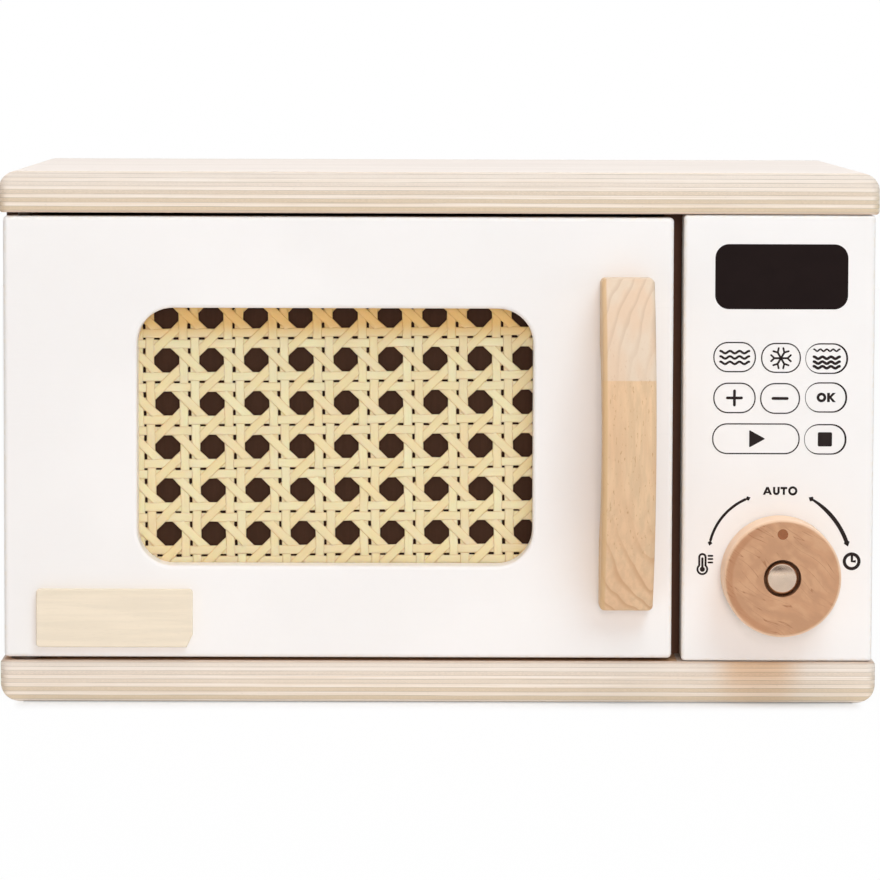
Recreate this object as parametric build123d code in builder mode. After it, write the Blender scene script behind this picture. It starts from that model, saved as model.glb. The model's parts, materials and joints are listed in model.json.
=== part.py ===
"""Toy microwave oven: plywood boards, painted casing, cane-windowed door, dial with a bell button, turntable.

Millimetres. X runs across the front with 0 at the middle of the boards, Y from front to back with 0 at
the middle of their depth, and Z up from the underside. The door and the controls face -Y.
"""
import os
from math import cos, sin, sqrt

from build123d import *

# ---- Casing -------------------------------------------------------------------------------------
board_length = 315.0
board_depth = 200.0
board_thickness = 14.8
board_end_radius = 7.0        # the rounded ends, on each board's outer side
board_inner_radius = 1.5      # the same ends, on the side towards the casing
board_plan_radius = 4.0
board_edge_ease = 0.6
casing_width = 311.8
casing_height = 160.8         # clear height between the boards
side_thickness = 12.0
divider_thickness = 9.0
divider_setback = 24.0        # from the front plane
back_thickness = 5.0
back_inset = 1.0              # inside the boards' rear edges
edge_ease = 0.6               # sanded edges of the side and back panels
seat_gap = 0.2                # between the back panel and what it fits between

# ---- Door ---------------------------------------------------------------------------------------
door_thickness = 15.0
door_side_gap = 3.6
door_top_gap = 1.3
door_bottom_gap = 1.2
door_back_gap = 2.0           # to the left side panel's front edge, so that the hinge edge can turn
door_edge_radius = 1.7
door_face_radius = 1.5
hinge_edge_radius = 7.0
window_width = 141.9
window_height = 92.5
window_radius = 12.8
window_edge_radius = 1.5
window_from_left = 47.8
window_from_bottom = 33.1
cane_recess = 11.0            # of the webbing behind the door's face
cane_thickness = 1.5
cane_overlap = 6.0            # how far the webbing and its backing reach past the window
cane_pitch_x = 16.1
cane_pitch_z = 15.7
cane_hole = 8.5               # across the flats of the octagonal holes
cane_holes_left = 11.0        # first hole column from the window's left edge
cane_holes_bottom = 10.5      # first hole row from the window's lower edge
backing_thickness = 1.0       # the dark panel behind the webbing
frame_width = 12.0
frame_thickness = 4.0
frame_fit = 0.4               # round the retaining frame in its rebate
plate_width = 56.0
plate_height = 20.8
plate_thickness = 3.0
plate_from_left = 11.7
plate_from_bottom = 3.9
plate_clip_x = 2.1            # the clipped corner
plate_clip_z = 4.4
plate_corner_radius = 1.2
plate_edge_radius = 0.5

# ---- Handle -------------------------------------------------------------------------------------
handle_length = 118.6
handle_width = 19.0
handle_reach = 32.0
handle_end_depth = 11.0       # how deep the bow still is at its two ends
handle_foot = 26.0            # length of each foot on the door
handle_grip_depth = 12.5      # front to back at the middle of the bow
handle_from_door_edge = 7.3
handle_from_bottom = 18.4
handle_edge_radius = 1.8

# ---- Hinge and catch ----------------------------------------------------------------------------
hinge_pin_diameter = 5.0
hinge_pin_in_door = 14.0
hinge_pin_in_board = 9.0
bush_wall = 1.5
hinge_washer_diameter = 11.0
hinge_play = 0.3
magnet_diameter = 8.0
magnet_thickness = 3.0
catch_gap = 0.3
strike_diameter = 9.0
strike_thickness = 1.0
catch_block_width = 10.0
catch_block_depth = 26.0
catch_block_height = 20.0

# ---- Control panel ------------------------------------------------------------------------------
control_width = 68.5
control_thickness = 15.0
control_gap = 0.3             # above and below the panel
control_edge_radius = 1.4
control_face_radius = 1.2
display_width = 47.6
display_height = 23.3
display_radius = 5.0
display_thickness = 1.0
display_from_right = 9.7
display_from_top = 10.6

# ---- Dial, bell button and click ----------------------------------------------------------------
dial_diameter = 42.0
dial_thickness = 18.0
dial_gap = 0.5                # behind the dial
dial_edge_radius = 1.2
dial_from_right = 33.7
dial_from_bottom = 32.0
dial_counterbore = 13.4
dial_counterbore_depth = 11.0
marker_diameter = 3.8
marker_depth = 3.0
marker_radius_out = 15.8
spindle_diameter = 8.0
spindle_beyond_panel = 12.0
dial_bush_proud = 0.3
click_wheel_diameter = 24.0
click_wheel_thickness = 4.0
click_wheel_gap = 0.3
click_teeth = 24
click_notch_radius = 1.2
leaf_thickness = 0.5
leaf_lift = 2.2               # of the leaf above the wheel
leaf_foot = 15.0
leaf_nose_depth = 2.6
leaf_nose_width = 2.4
clip_thickness = 0.8
clip_width = 2.0
clip_gap = 0.3
clip_mouth = 1.5              # a clip's mouth to the radius of its groove
button_diameter = 11.3
button_length = 6.0
button_wall = 1.0
button_crown = 0.5
button_edge_radius = 1.0
button_recess = 1.0           # of the button's crown behind the dial's face
button_boss_diameter = 5.0
button_travel = 3.0
stem_diameter = 3.0
spring_diameter = 8.4
spring_wire = 0.7
spring_turns = 4.0
spring_seat_gap = 0.1

# ---- Bell ---------------------------------------------------------------------------------------
pivot_rise = 15.0             # lever pivot above the stem
pivot_diameter = 3.0
pivot_from_panel = 33.0       # behind the control panel
lever_hub_diameter = 8.0
lever_hub_width = 10.0
lever_width = 8.0
lever_thickness = 2.0
lever_tail = 5.0              # below the stem's line
lever_gap = 0.3               # stem to lever at rest
hammer_arm = 27.0
hammer_rod_diameter = 2.4
hammer_diameter = 8.0
gong_diameter = 32.0
gong_height = 11.0
gong_wall = 1.2
gong_rise = 13.0              # gong's middle above the hammer
gong_gap = 0.4                # hammer to gong with the button pressed
gong_post_diameter = 9.0
lever_block_depth = 15.0
lever_block_height = 16.0
pivot_in_block = 15.0

# ---- Turntable ----------------------------------------------------------------------------------
turntable_diameter = 150.0
turntable_thickness = 6.0
turntable_rim = 7.0
turntable_dish = 1.6
turntable_edge_radius = 1.5
turntable_y = 6.0
turntable_flange_diameter = 30.0
turntable_flange = 2.0
turntable_lift = 0.3
turntable_barrel = 4.0
turntable_pivot_diameter = 6.0
turntable_pivot_in_board = 10.0
turntable_pivot_short = 0.5   # of the barrel's upper end

# ---- Fasteners and fits -------------------------------------------------------------------------
running_fit = 0.05            # radial, where one piece turns or slides on another
press_fit = 0.02              # radial, where a piece is pressed or glued into its hole
dowel_diameter = 5.0
dowel_length = 20.0
dowel_ease = 0.5
dowel_spacing = 120.0
casing_screw = 3.5
casing_screw_length = 35.0
back_screw = 3.0
back_screw_length = 18.0
handle_screw = 4.0
handle_screw_length = 27.0
frame_screw = 2.0
frame_screw_length = 10.0
small_screw = 2.5
small_screw_length = 9.0
gong_screw_size = 3.0
gong_screw_length = 34.0
screw_clearance = 0.2         # radial, round a shank in the piece it holds
head_clearance = 0.1
head_ratio = 2.0              # head across to shank across
round_head_ratio = 0.7        # a round head's height to its shank
cross_reach = 1.1             # a screw's cross slot to the head's radius
cross_width = 0.2             # the slot's width to the shank
cross_depth = 0.33            # the slot's depth to the shank
point_length = 1.0            # a screw's tapered point to its shank
hole_spare = 0.5              # a blind hole's extra depth

# ---- Places worked out from the sizes above -----------------------------------------------------
front_y = -board_depth / 2
casing_left = -casing_width / 2
casing_right = casing_width / 2
casing_bottom = board_thickness
casing_top = casing_bottom + casing_height
back_outer_y = board_depth / 2 - back_inset
back_inner_y = back_outer_y - back_thickness
left_side_x = casing_left + side_thickness / 2
right_side_x = casing_right - side_thickness / 2

control_left = casing_right - control_width
control_x = (control_left + casing_right) / 2
control_back_y = front_y + control_thickness
control_mid_y = (front_y + control_back_y) / 2

door_left = casing_left
door_right = control_left - door_side_gap
door_bottom = casing_bottom + door_bottom_gap
door_top = casing_top - door_top_gap
door_x = (door_left + door_right) / 2
door_mid_y = front_y + door_thickness / 2
door_back_y = front_y + door_thickness
divider_x = (door_right + control_left) / 2
divider_left = divider_x - divider_thickness / 2
divider_right = divider_x + divider_thickness / 2
divider_front_y = front_y + divider_setback
side_front_y = door_back_y + door_back_gap

hinge_x = door_left + door_thickness / 2
hinge_bush_diameter = hinge_pin_diameter + 2 * running_fit + 2 * bush_wall

window_left = door_left + window_from_left
window_x = window_left + window_width / 2
window_bottom = door_bottom + window_from_bottom
window_z = window_bottom + window_height / 2
cane_front_y = front_y + cane_recess
cane_back_y = cane_front_y + cane_thickness
rebate_depth = door_thickness - cane_recess
backing_back_y = cane_back_y + backing_thickness
frame_back_y = backing_back_y + frame_thickness
rebate_width = window_width + 2 * frame_width
rebate_height = window_height + 2 * frame_width
frame_screw_out = (frame_width + cane_overlap) / 2
frame_screw_x = window_width / 2 + frame_screw_out
frame_screw_z = window_height / 2 + frame_screw_out
frame_screw_spots = [
    (window_x + across * frame_screw_x, cane_front_y, window_z + up * frame_screw_z)
    for across in (-1, 0, 1)
    for up in (-1, 0, 1)
    if across or up
]

cane_columns = int((window_width - cane_holes_left + cane_hole / 2) / cane_pitch_x) + 1
cane_rows = int((window_height - cane_holes_bottom + cane_hole / 2) / cane_pitch_z) + 1
cane_hole_x = [window_left + cane_holes_left + column * cane_pitch_x for column in range(cane_columns)]
cane_hole_z = [window_bottom + cane_holes_bottom + row * cane_pitch_z for row in range(cane_rows)]
cane_hole_spots = [(x, z) for x in cane_hole_x for z in cane_hole_z]

plate_right = door_left + plate_from_left + plate_width
plate_bottom = door_bottom + plate_from_bottom
plate_x = plate_right - plate_width / 2
plate_z = plate_bottom + plate_height / 2

handle_x = door_right - handle_from_door_edge - handle_width / 2
handle_bottom = door_bottom + handle_from_bottom
handle_top = handle_bottom + handle_length
handle_z = (handle_bottom + handle_top) / 2
handle_screw_spacing = handle_length - handle_foot

catch_z = handle_z
catch_x = divider_left - catch_block_width / 2
strike_front_y = door_back_y + catch_gap
catch_front_y = strike_front_y + strike_thickness

display_x = casing_right - display_from_right - display_width / 2
display_z = casing_top - display_from_top - display_height / 2

dial_x = casing_right - dial_from_right
dial_z = casing_bottom + dial_from_bottom
dial_back_y = front_y - dial_gap
dial_face_y = dial_back_y - dial_thickness
counterbore_floor_y = dial_face_y + dial_counterbore_depth
spindle_end_y = control_back_y + spindle_beyond_panel
dial_bush_diameter = spindle_diameter + 2 * running_fit + 2 * bush_wall
click_front_y = control_back_y + click_wheel_gap
click_back_y = click_front_y + click_wheel_thickness
spindle_clip_y = click_back_y + clip_gap
button_crown_y = dial_face_y + button_recess
button_inner_y = button_crown_y + button_crown + button_wall
spindle_bore = stem_diameter + 2 * running_fit

pivot_z = dial_z + pivot_rise
pivot_y = control_back_y + pivot_from_panel
lever_front_y = pivot_y - lever_thickness / 2
stem_end_y = lever_front_y - lever_gap
lever_angle = button_travel / pivot_rise
hammer_z = pivot_z + hammer_arm
gong_z = hammer_z + gong_rise
gong_sphere = (gong_diameter ** 2 / 4 + gong_height ** 2) / (2 * gong_height)
struck_y = pivot_y - hammer_arm * sin(lever_angle)
struck_z = pivot_z + hammer_arm * cos(lever_angle)
gong_reach = gong_sphere + hammer_diameter / 2 + gong_gap
gong_centre_y = struck_y - sqrt(gong_reach ** 2 - (gong_z - struck_z) ** 2)
gong_crown_y = gong_centre_y + gong_sphere
gong_inner_y = gong_crown_y - gong_wall
gong_rim_y = gong_crown_y - gong_height
gong_post_end_y = gong_centre_y + sqrt((gong_sphere - gong_wall) ** 2 - gong_post_diameter ** 2 / 4)
lever_hub_left = dial_x - lever_hub_width / 2
lever_hub_right = dial_x + lever_hub_width / 2
lever_block_right = lever_hub_left - clip_gap

turntable_x = (casing_left + side_thickness + divider_left) / 2
turntable_flange_z = casing_bottom + turntable_lift
turntable_z = turntable_flange_z + turntable_flange
turntable_bush_diameter = turntable_pivot_diameter + 2 * running_fit + 2 * bush_wall

dowel_y = (-dowel_spacing / 2, dowel_spacing / 2)
upright_x = (left_side_x, divider_x, right_side_x)
upright_spots = [(x, y) for x in upright_x for y in dowel_y]
control_spots = [(control_x + side * control_width / 4, control_mid_y) for side in (-1, 1)]
back_screw_z = (casing_bottom + casing_height / 6, casing_top - casing_height / 6)
back_screw_spots = [(x, z) for x in upright_x for z in back_screw_z]
handle_screw_z = (handle_z - handle_screw_spacing / 2, handle_z + handle_screw_spacing / 2)


# ---- Shared shapes ------------------------------------------------------------------------------
UP, DOWN, FRONT, REAR = (0, 0, 1), (0, 0, -1), (0, -1, 0), (0, 1, 0)


def facing(normal, *points):
    """Planes at the points given, each looking along the normal with its own X level."""
    return [Plane(origin=point, x_dir=(1, 0, 0), z_dir=normal) for point in points]


def countersunk_screw(shank, length):
    """A cross-head wood screw: head face at the origin, point along -Z."""
    head_radius = shank * head_ratio / 2
    with BuildPart() as screw:
        with BuildSketch(Plane.XZ):
            with BuildLine():
                Polyline(
                    (0, 0),
                    (head_radius, 0),
                    (shank / 2, shank / 2 - head_radius),
                    (shank / 2, shank * point_length - length),
                    (0, -length),
                    close=True,
                )
            make_face()
        revolve(axis=Axis.Z)
        with BuildSketch():
            Rectangle(head_radius * cross_reach, shank * cross_width)
            Rectangle(shank * cross_width, head_radius * cross_reach)
        extrude(amount=-shank * cross_depth, mode=Mode.SUBTRACT)
    return screw.part


def dowel():
    """A casing dowel with eased ends, centred on the origin along Z."""
    with BuildPart() as pin:
        Cylinder(dowel_diameter / 2, dowel_length)
        chamfer(pin.edges().filter_by(GeomType.CIRCLE), dowel_ease)
    return pin.part


def sunk_hole(shank, depth):
    """A clearance hole with a countersink for a wood screw's head."""
    CounterSinkHole(
        radius=shank / 2 + screw_clearance,
        counter_sink_radius=shank * head_ratio / 2 + head_clearance,
        depth=depth,
        counter_sink_angle=90,
    )


def pilot_hole(shank, depth):
    """A blind hole that a wood screw's shank fills."""
    Hole(radius=shank / 2 + press_fit, depth=depth + hole_spare)


def fitted_hole(diameter, depth):
    """A blind hole that a pressed or glued pin fills."""
    Hole(radius=diameter / 2 + press_fit, depth=depth)


def save(piece, name):
    """Label a finished piece and write its STEP file."""
    piece.part.label = name
    export_step(piece.part, f"parts/{name}.step")


os.makedirs("parts", exist_ok=True)

# ---- Boards -------------------------------------------------------------------------------------
board_screw_depth = casing_screw_length - board_thickness
dowel_depth = dowel_length / 2 + hole_spare

with BuildPart() as bottom_board:
    with BuildSketch(Plane.XZ) as elevation:
        Rectangle(board_length, board_thickness, align=(Align.CENTER, Align.MIN))
        fillet(elevation.vertices().group_by(Axis.Y)[0], board_end_radius)
        fillet(elevation.vertices().group_by(Axis.Y)[-1], board_inner_radius)
    extrude(amount=board_depth / 2, both=True)
    fillet(bottom_board.faces().filter_by(Plane.XZ).edges(), board_edge_ease)
    with BuildSketch():
        RectangleRounded(board_length, board_depth, board_plan_radius)
    extrude(amount=board_thickness, mode=Mode.INTERSECT)
    with Locations(facing(DOWN, *[(x, y, 0) for x, y in upright_spots])):
        sunk_hole(casing_screw, board_thickness)
    with Locations(facing(UP, *[(x, y, casing_bottom) for x, y in control_spots])):
        fitted_hole(dowel_diameter, dowel_depth)
    with Locations((hinge_x, door_mid_y, casing_bottom)):
        fitted_hole(hinge_bush_diameter, hinge_pin_in_board + hole_spare)
    with Locations((turntable_x, turntable_y, casing_bottom)):
        fitted_hole(turntable_pivot_diameter, turntable_pivot_in_board)
save(bottom_board, "bottom_board")

with BuildPart() as top_board:
    with BuildSketch(Plane.XZ) as elevation:
        with Locations((0, casing_top)):
            Rectangle(board_length, board_thickness, align=(Align.CENTER, Align.MIN))
        fillet(elevation.vertices().group_by(Axis.Y)[-1], board_end_radius)
        fillet(elevation.vertices().group_by(Axis.Y)[0], board_inner_radius)
    extrude(amount=board_depth / 2, both=True)
    fillet(top_board.faces().filter_by(Plane.XZ).edges(), board_edge_ease)
    with BuildSketch(Plane.XY.offset(casing_top)):
        RectangleRounded(board_length, board_depth, board_plan_radius)
    extrude(amount=board_thickness, mode=Mode.INTERSECT)
    with Locations(facing(DOWN, *[(x, y, casing_top) for x, y in upright_spots + control_spots])):
        fitted_hole(dowel_diameter, dowel_depth)
    with Locations(facing(DOWN, (hinge_x, door_mid_y, casing_top))):
        fitted_hole(hinge_bush_diameter, hinge_pin_in_board + hole_spare)
save(top_board, "top_board")

# ---- Uprights -----------------------------------------------------------------------------------
for name, x, thickness, near_y in (
    ("left_side_panel", left_side_x, side_thickness, side_front_y),
    ("right_side_panel", right_side_x, side_thickness, control_back_y),
    ("divider_panel", divider_x, divider_thickness, divider_front_y),
):
    with BuildPart() as upright:
        with BuildSketch(Plane.XY.offset(casing_bottom)):
            with Locations((x, (near_y + back_inner_y) / 2)):
                Rectangle(thickness, back_inner_y - near_y)
        extrude(amount=casing_height)
        fillet(upright.edges().filter_by(Axis.Z), edge_ease)
        with Locations(facing(DOWN, *[(x, y, casing_bottom) for y in dowel_y])):
            pilot_hole(casing_screw, board_screw_depth)
        with Locations([(x, y, casing_top) for y in dowel_y]):
            fitted_hole(dowel_diameter, dowel_depth)
        with Locations(facing(REAR, *[(x, back_inner_y, z) for z in back_screw_z])):
            pilot_hole(back_screw, back_screw_length - back_thickness)
    save(upright, name)

with BuildPart() as back_panel:
    with BuildSketch(Plane.XZ.offset(-back_inner_y)):
        with Locations((0, (casing_bottom + casing_top) / 2)):
            Rectangle(casing_width - 2 * seat_gap, casing_height - 2 * seat_gap)
    extrude(amount=-back_thickness)
    fillet(back_panel.faces().sort_by(Axis.Y)[-1].edges(), edge_ease)
    with Locations(facing(REAR, *[(x, back_outer_y, z) for x, z in back_screw_spots])):
        sunk_hole(back_screw, back_thickness)
save(back_panel, "back_panel")

# ---- Casing fasteners ---------------------------------------------------------------------------
dowel_part = dowel()
with BuildPart() as casing_dowels:
    with Locations([(x, y, casing_top) for x, y in upright_spots + control_spots]):
        add(dowel_part)
    with Locations([(x, y, casing_bottom) for x, y in control_spots]):
        add(dowel_part)
save(casing_dowels, "casing_dowels")

base_screw_part = countersunk_screw(casing_screw, casing_screw_length)
with BuildPart() as base_screws:
    with Locations(facing(DOWN, *[(x, y, 0) for x, y in upright_spots])):
        add(base_screw_part)
save(base_screws, "base_screws")

back_screw_part = countersunk_screw(back_screw, back_screw_length)
with BuildPart() as back_screws:
    with Locations(facing(REAR, *[(x, back_outer_y, z) for x, z in back_screw_spots])):
        add(back_screw_part)
save(back_screws, "back_screws")

# ---- Control panel ------------------------------------------------------------------------------
with BuildPart() as control_panel:
    with BuildSketch(Plane.XY.offset(casing_bottom + control_gap)) as plan:
        with Locations((control_x, control_mid_y)):
            Rectangle(control_width, control_thickness)
        fillet(plan.vertices().group_by(Axis.Y)[0], control_edge_radius)
        fillet(plan.vertices().group_by(Axis.Y)[-1], edge_ease)
    extrude(amount=casing_height - 2 * control_gap)
    front_rim = control_panel.faces().filter_by(Plane.XZ).sort_by(Axis.Y)[0].edges()
    fillet(front_rim.filter_by(Axis.X), control_face_radius)
    with Locations(facing(DOWN, *[(x, y, casing_bottom + control_gap) for x, y in control_spots])):
        fitted_hole(dowel_diameter, dowel_depth)
    with Locations([(x, y, casing_top - control_gap) for x, y in control_spots]):
        fitted_hole(dowel_diameter, dowel_depth)
    with BuildSketch(Plane.XZ.offset(-front_y)):
        with Locations((display_x, display_z)):
            RectangleRounded(display_width, display_height, display_radius)
    extrude(amount=-display_thickness, mode=Mode.SUBTRACT)
    with Locations(facing(FRONT, (dial_x, front_y, dial_z))):
        fitted_hole(dial_bush_diameter, control_thickness)
    with Locations(facing(REAR, (dial_x, control_back_y, gong_z))):
        pilot_hole(gong_screw_size, gong_screw_length - (gong_crown_y - control_back_y))
save(control_panel, "control_panel")

with BuildPart() as display_panel:
    with BuildSketch(Plane.XZ.offset(-front_y)):
        with Locations((display_x, display_z)):
            RectangleRounded(
                display_width - 2 * press_fit, display_height - 2 * press_fit, display_radius - press_fit
            )
    extrude(amount=-display_thickness)
save(display_panel, "display_panel")

# ---- Door ---------------------------------------------------------------------------------------
with BuildPart() as door_panel:
    with BuildSketch(Plane.XY.offset(door_bottom)) as plan:
        with Locations((door_x, door_mid_y)):
            Rectangle(door_right - door_left, door_thickness)
        fillet(plan.vertices().group_by(Axis.Y)[0], door_edge_radius)
        fillet(plan.vertices().group_by(Axis.Y)[-1].sort_by(Axis.X)[-1], edge_ease)
        fillet(plan.vertices().group_by(Axis.Y)[-1].sort_by(Axis.X)[0], hinge_edge_radius)
    extrude(amount=door_top - door_bottom)
    front_rim = door_panel.faces().filter_by(Plane.XZ).sort_by(Axis.Y)[0].edges()
    fillet(front_rim.filter_by(Axis.X), door_face_radius)
    with BuildSketch(Plane.XZ.offset(-front_y)):
        with Locations((window_x, window_z)):
            RectangleRounded(window_width, window_height, window_radius)
    extrude(amount=-door_thickness, mode=Mode.SUBTRACT)
    with BuildSketch(Plane.XZ.offset(-door_back_y)):
        with Locations((window_x, window_z)):
            RectangleRounded(rebate_width, rebate_height, window_radius)
    extrude(amount=rebate_depth, mode=Mode.SUBTRACT)
    window_rim = door_panel.faces().filter_by(Plane.XZ).sort_by(Axis.Y)[0].inner_wires()[0].edges()
    fillet(window_rim, window_edge_radius)
    with Locations(facing(REAR, *frame_screw_spots)):
        pilot_hole(frame_screw, frame_screw_length - frame_back_y + cane_front_y)
    with Locations(facing(REAR, *[(handle_x, door_back_y, z) for z in handle_screw_z])):
        sunk_hole(handle_screw, door_thickness)
    with Locations(facing(REAR, (catch_x, door_back_y, catch_z))):
        fitted_hole(magnet_diameter, magnet_thickness)
    with Locations((hinge_x, door_mid_y, door_top)):
        fitted_hole(hinge_pin_diameter, hinge_pin_in_door)
    with Locations(facing(DOWN, (hinge_x, door_mid_y, door_bottom))):
        fitted_hole(hinge_pin_diameter, hinge_pin_in_door)
save(door_panel, "door_panel")

with BuildPart() as cane_webbing:
    with BuildSketch(Plane.XZ.offset(-cane_front_y)):
        with Locations((window_x, window_z)):
            RectangleRounded(window_width + 2 * cane_overlap, window_height + 2 * cane_overlap, window_radius)
        with Locations(cane_hole_spots):
            RegularPolygon(cane_hole / 2, 8, major_radius=False, rotation=22.5, mode=Mode.SUBTRACT)
    extrude(amount=-cane_thickness)
save(cane_webbing, "cane_webbing")

with BuildPart() as window_backing:
    with BuildSketch(Plane.XZ.offset(-cane_back_y)):
        with Locations((window_x, window_z)):
            RectangleRounded(window_width + 2 * cane_overlap, window_height + 2 * cane_overlap, window_radius)
    extrude(amount=-backing_thickness)
save(window_backing, "window_backing")

with BuildPart() as cane_frame:
    with BuildSketch(Plane.XZ.offset(-backing_back_y)):
        with Locations((window_x, window_z)):
            RectangleRounded(rebate_width - 2 * frame_fit, rebate_height - 2 * frame_fit, window_radius)
            RectangleRounded(window_width, window_height, window_radius, mode=Mode.SUBTRACT)
    extrude(amount=-frame_thickness)
    fillet(cane_frame.faces().sort_by(Axis.Y)[-1].edges(), edge_ease)
    with Locations(facing(REAR, *[(x, frame_back_y, z) for x, y, z in frame_screw_spots])):
        sunk_hole(frame_screw, frame_thickness)
save(cane_frame, "cane_frame")

frame_screw_part = countersunk_screw(frame_screw, frame_screw_length)
with BuildPart() as cane_frame_screws:
    with Locations(facing(REAR, *[(x, frame_back_y, z) for x, y, z in frame_screw_spots])):
        add(frame_screw_part)
save(cane_frame_screws, "cane_frame_screws")

with BuildPart() as name_plate:
    with BuildSketch(Plane.XZ.offset(-front_y)) as outline:
        with Locations((plate_x, plate_z)):
            Rectangle(plate_width, plate_height)
        corners = outline.vertices().sort_by(Axis.X)
        right_top = corners[2:].sort_by(Axis.Y)[-1]
        fillet(corners[:2] + [right_top], plate_corner_radius)
        with BuildLine():
            Polyline(
                (plate_right, plate_bottom),
                (plate_right, plate_bottom + plate_clip_z),
                (plate_right - plate_clip_x, plate_bottom),
                close=True,
            )
        make_face(mode=Mode.SUBTRACT)
    extrude(amount=plate_thickness)
    fillet(name_plate.faces().sort_by(Axis.Y)[0].edges(), plate_edge_radius)
save(name_plate, "name_plate")

# ---- Handle -------------------------------------------------------------------------------------
with BuildPart() as door_handle:
    with BuildSketch(Plane.YZ.offset(handle_x - handle_width / 2)):
        with BuildLine():
            Line((front_y, handle_bottom), (front_y - handle_end_depth, handle_bottom))
            ThreePointArc(
                (front_y - handle_end_depth, handle_bottom),
                (front_y - handle_reach, handle_z),
                (front_y - handle_end_depth, handle_top),
            )
            Line((front_y - handle_end_depth, handle_top), (front_y, handle_top))
            Line((front_y, handle_top), (front_y, handle_top - handle_foot))
            ThreePointArc(
                (front_y, handle_top - handle_foot),
                (front_y - handle_reach + handle_grip_depth, handle_z),
                (front_y, handle_bottom + handle_foot),
            )
            Line((front_y, handle_bottom + handle_foot), (front_y, handle_bottom))
        make_face()
    extrude(amount=handle_width)
    off_door = [e for e in door_handle.edges() if (e @ 0.5).Y < front_y - press_fit]
    fillet(off_door, handle_edge_radius)
    with Locations(facing(REAR, *[(handle_x, front_y, z) for z in handle_screw_z])):
        pilot_hole(handle_screw, handle_screw_length - door_thickness)
save(door_handle, "door_handle")

handle_screw_part = countersunk_screw(handle_screw, handle_screw_length)
with BuildPart() as handle_screws:
    with Locations(facing(REAR, *[(handle_x, door_back_y, z) for z in handle_screw_z])):
        add(handle_screw_part)
save(handle_screws, "handle_screws")

# ---- Hinge and catch ----------------------------------------------------------------------------
hinge_pin_length = hinge_pin_in_door + hinge_pin_in_board
with BuildPart() as hinge_pins:
    for low_z in (door_bottom - hinge_pin_in_board, door_top - hinge_pin_in_door):
        with BuildSketch(Plane.XY.offset(low_z)):
            with Locations((hinge_x, door_mid_y)):
                Circle(hinge_pin_diameter / 2)
        extrude(amount=hinge_pin_length)
    chamfer(hinge_pins.edges().filter_by(GeomType.CIRCLE), edge_ease)
save(hinge_pins, "hinge_pins")

with BuildPart() as hinge_bushes:
    for low_z in (casing_bottom - hinge_pin_in_board, casing_top):
        with BuildSketch(Plane.XY.offset(low_z)):
            with Locations((hinge_x, door_mid_y)):
                Circle(hinge_bush_diameter / 2)
                Circle(hinge_pin_diameter / 2 + running_fit, mode=Mode.SUBTRACT)
        extrude(amount=hinge_pin_in_board)
save(hinge_bushes, "hinge_bushes")

with BuildPart() as hinge_washer:
    with BuildSketch(Plane.XY.offset(casing_bottom)):
        with Locations((hinge_x, door_mid_y)):
            Circle(hinge_washer_diameter / 2)
            Circle(hinge_pin_diameter / 2 + running_fit, mode=Mode.SUBTRACT)
    extrude(amount=door_bottom_gap - hinge_play)
save(hinge_washer, "hinge_washer")

with BuildPart() as door_magnet:
    with BuildSketch(Plane.XZ.offset(-door_back_y)):
        with Locations((catch_x, catch_z)):
            Circle(magnet_diameter / 2)
    extrude(amount=magnet_thickness)
save(door_magnet, "door_magnet")

with BuildPart() as strike_plate:
    with BuildSketch(Plane.XZ.offset(-strike_front_y)):
        with Locations((catch_x, catch_z)):
            Circle(strike_diameter / 2)
    extrude(amount=-strike_thickness)
    with Locations(facing(FRONT, (catch_x, strike_front_y, catch_z))):
        sunk_hole(small_screw, strike_thickness)
save(strike_plate, "strike_plate")

small_screw_part = countersunk_screw(small_screw, small_screw_length)
with BuildPart() as strike_screw:
    with Locations(facing(FRONT, (catch_x, strike_front_y, catch_z))):
        add(small_screw_part)
save(strike_screw, "strike_screw")

with BuildPart() as catch_block:
    with BuildSketch(Plane.XZ.offset(-catch_front_y)):
        with Locations((catch_x, catch_z)):
            Rectangle(catch_block_width, catch_block_height)
    extrude(amount=-catch_block_depth)
    fillet(catch_block.faces().sort_by(Axis.X)[0].edges(), edge_ease)
    with Locations(facing(FRONT, (catch_x, catch_front_y, catch_z))):
        pilot_hole(small_screw, small_screw_length - strike_thickness)
        CounterSinkHole(
            radius=small_screw / 2 + press_fit,
            counter_sink_radius=small_screw * head_ratio / 2 + head_clearance - strike_thickness,
            depth=strike_thickness,
            counter_sink_angle=90,
        )
save(catch_block, "catch_block")

# ---- Dial, bell button and click ----------------------------------------------------------------
dial_section = facing(UP, (dial_x, 0, dial_z))[0]      # X out from the dial's axis, Y along it
dial_axis = Axis((dial_x, 0, dial_z), REAR)

with BuildPart() as dial:
    with BuildSketch(Plane.XZ.offset(-dial_back_y)):
        with Locations((dial_x, dial_z)):
            Circle(dial_diameter / 2)
    extrude(amount=dial_thickness)
    fillet(dial.faces().sort_by(Axis.Y)[0].edges(), dial_edge_radius)
    fillet(dial.faces().sort_by(Axis.Y)[-1].edges(), edge_ease)
    with Locations(facing(FRONT, (dial_x, dial_face_y, dial_z))):
        CounterBoreHole(
            radius=spindle_diameter / 2 + press_fit,
            counter_bore_radius=dial_counterbore / 2,
            counter_bore_depth=dial_counterbore_depth,
            depth=dial_thickness,
        )
    with Locations(facing(FRONT, (dial_x, dial_face_y, dial_z + marker_radius_out))):
        fitted_hole(marker_diameter, marker_depth)
save(dial, "dial")

with BuildPart() as dial_marker:
    with BuildSketch(Plane.XZ.offset(-dial_face_y)):
        with Locations((dial_x, dial_z + marker_radius_out)):
            Circle(marker_diameter / 2)
    extrude(amount=-marker_depth)
save(dial_marker, "dial_marker")

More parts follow.
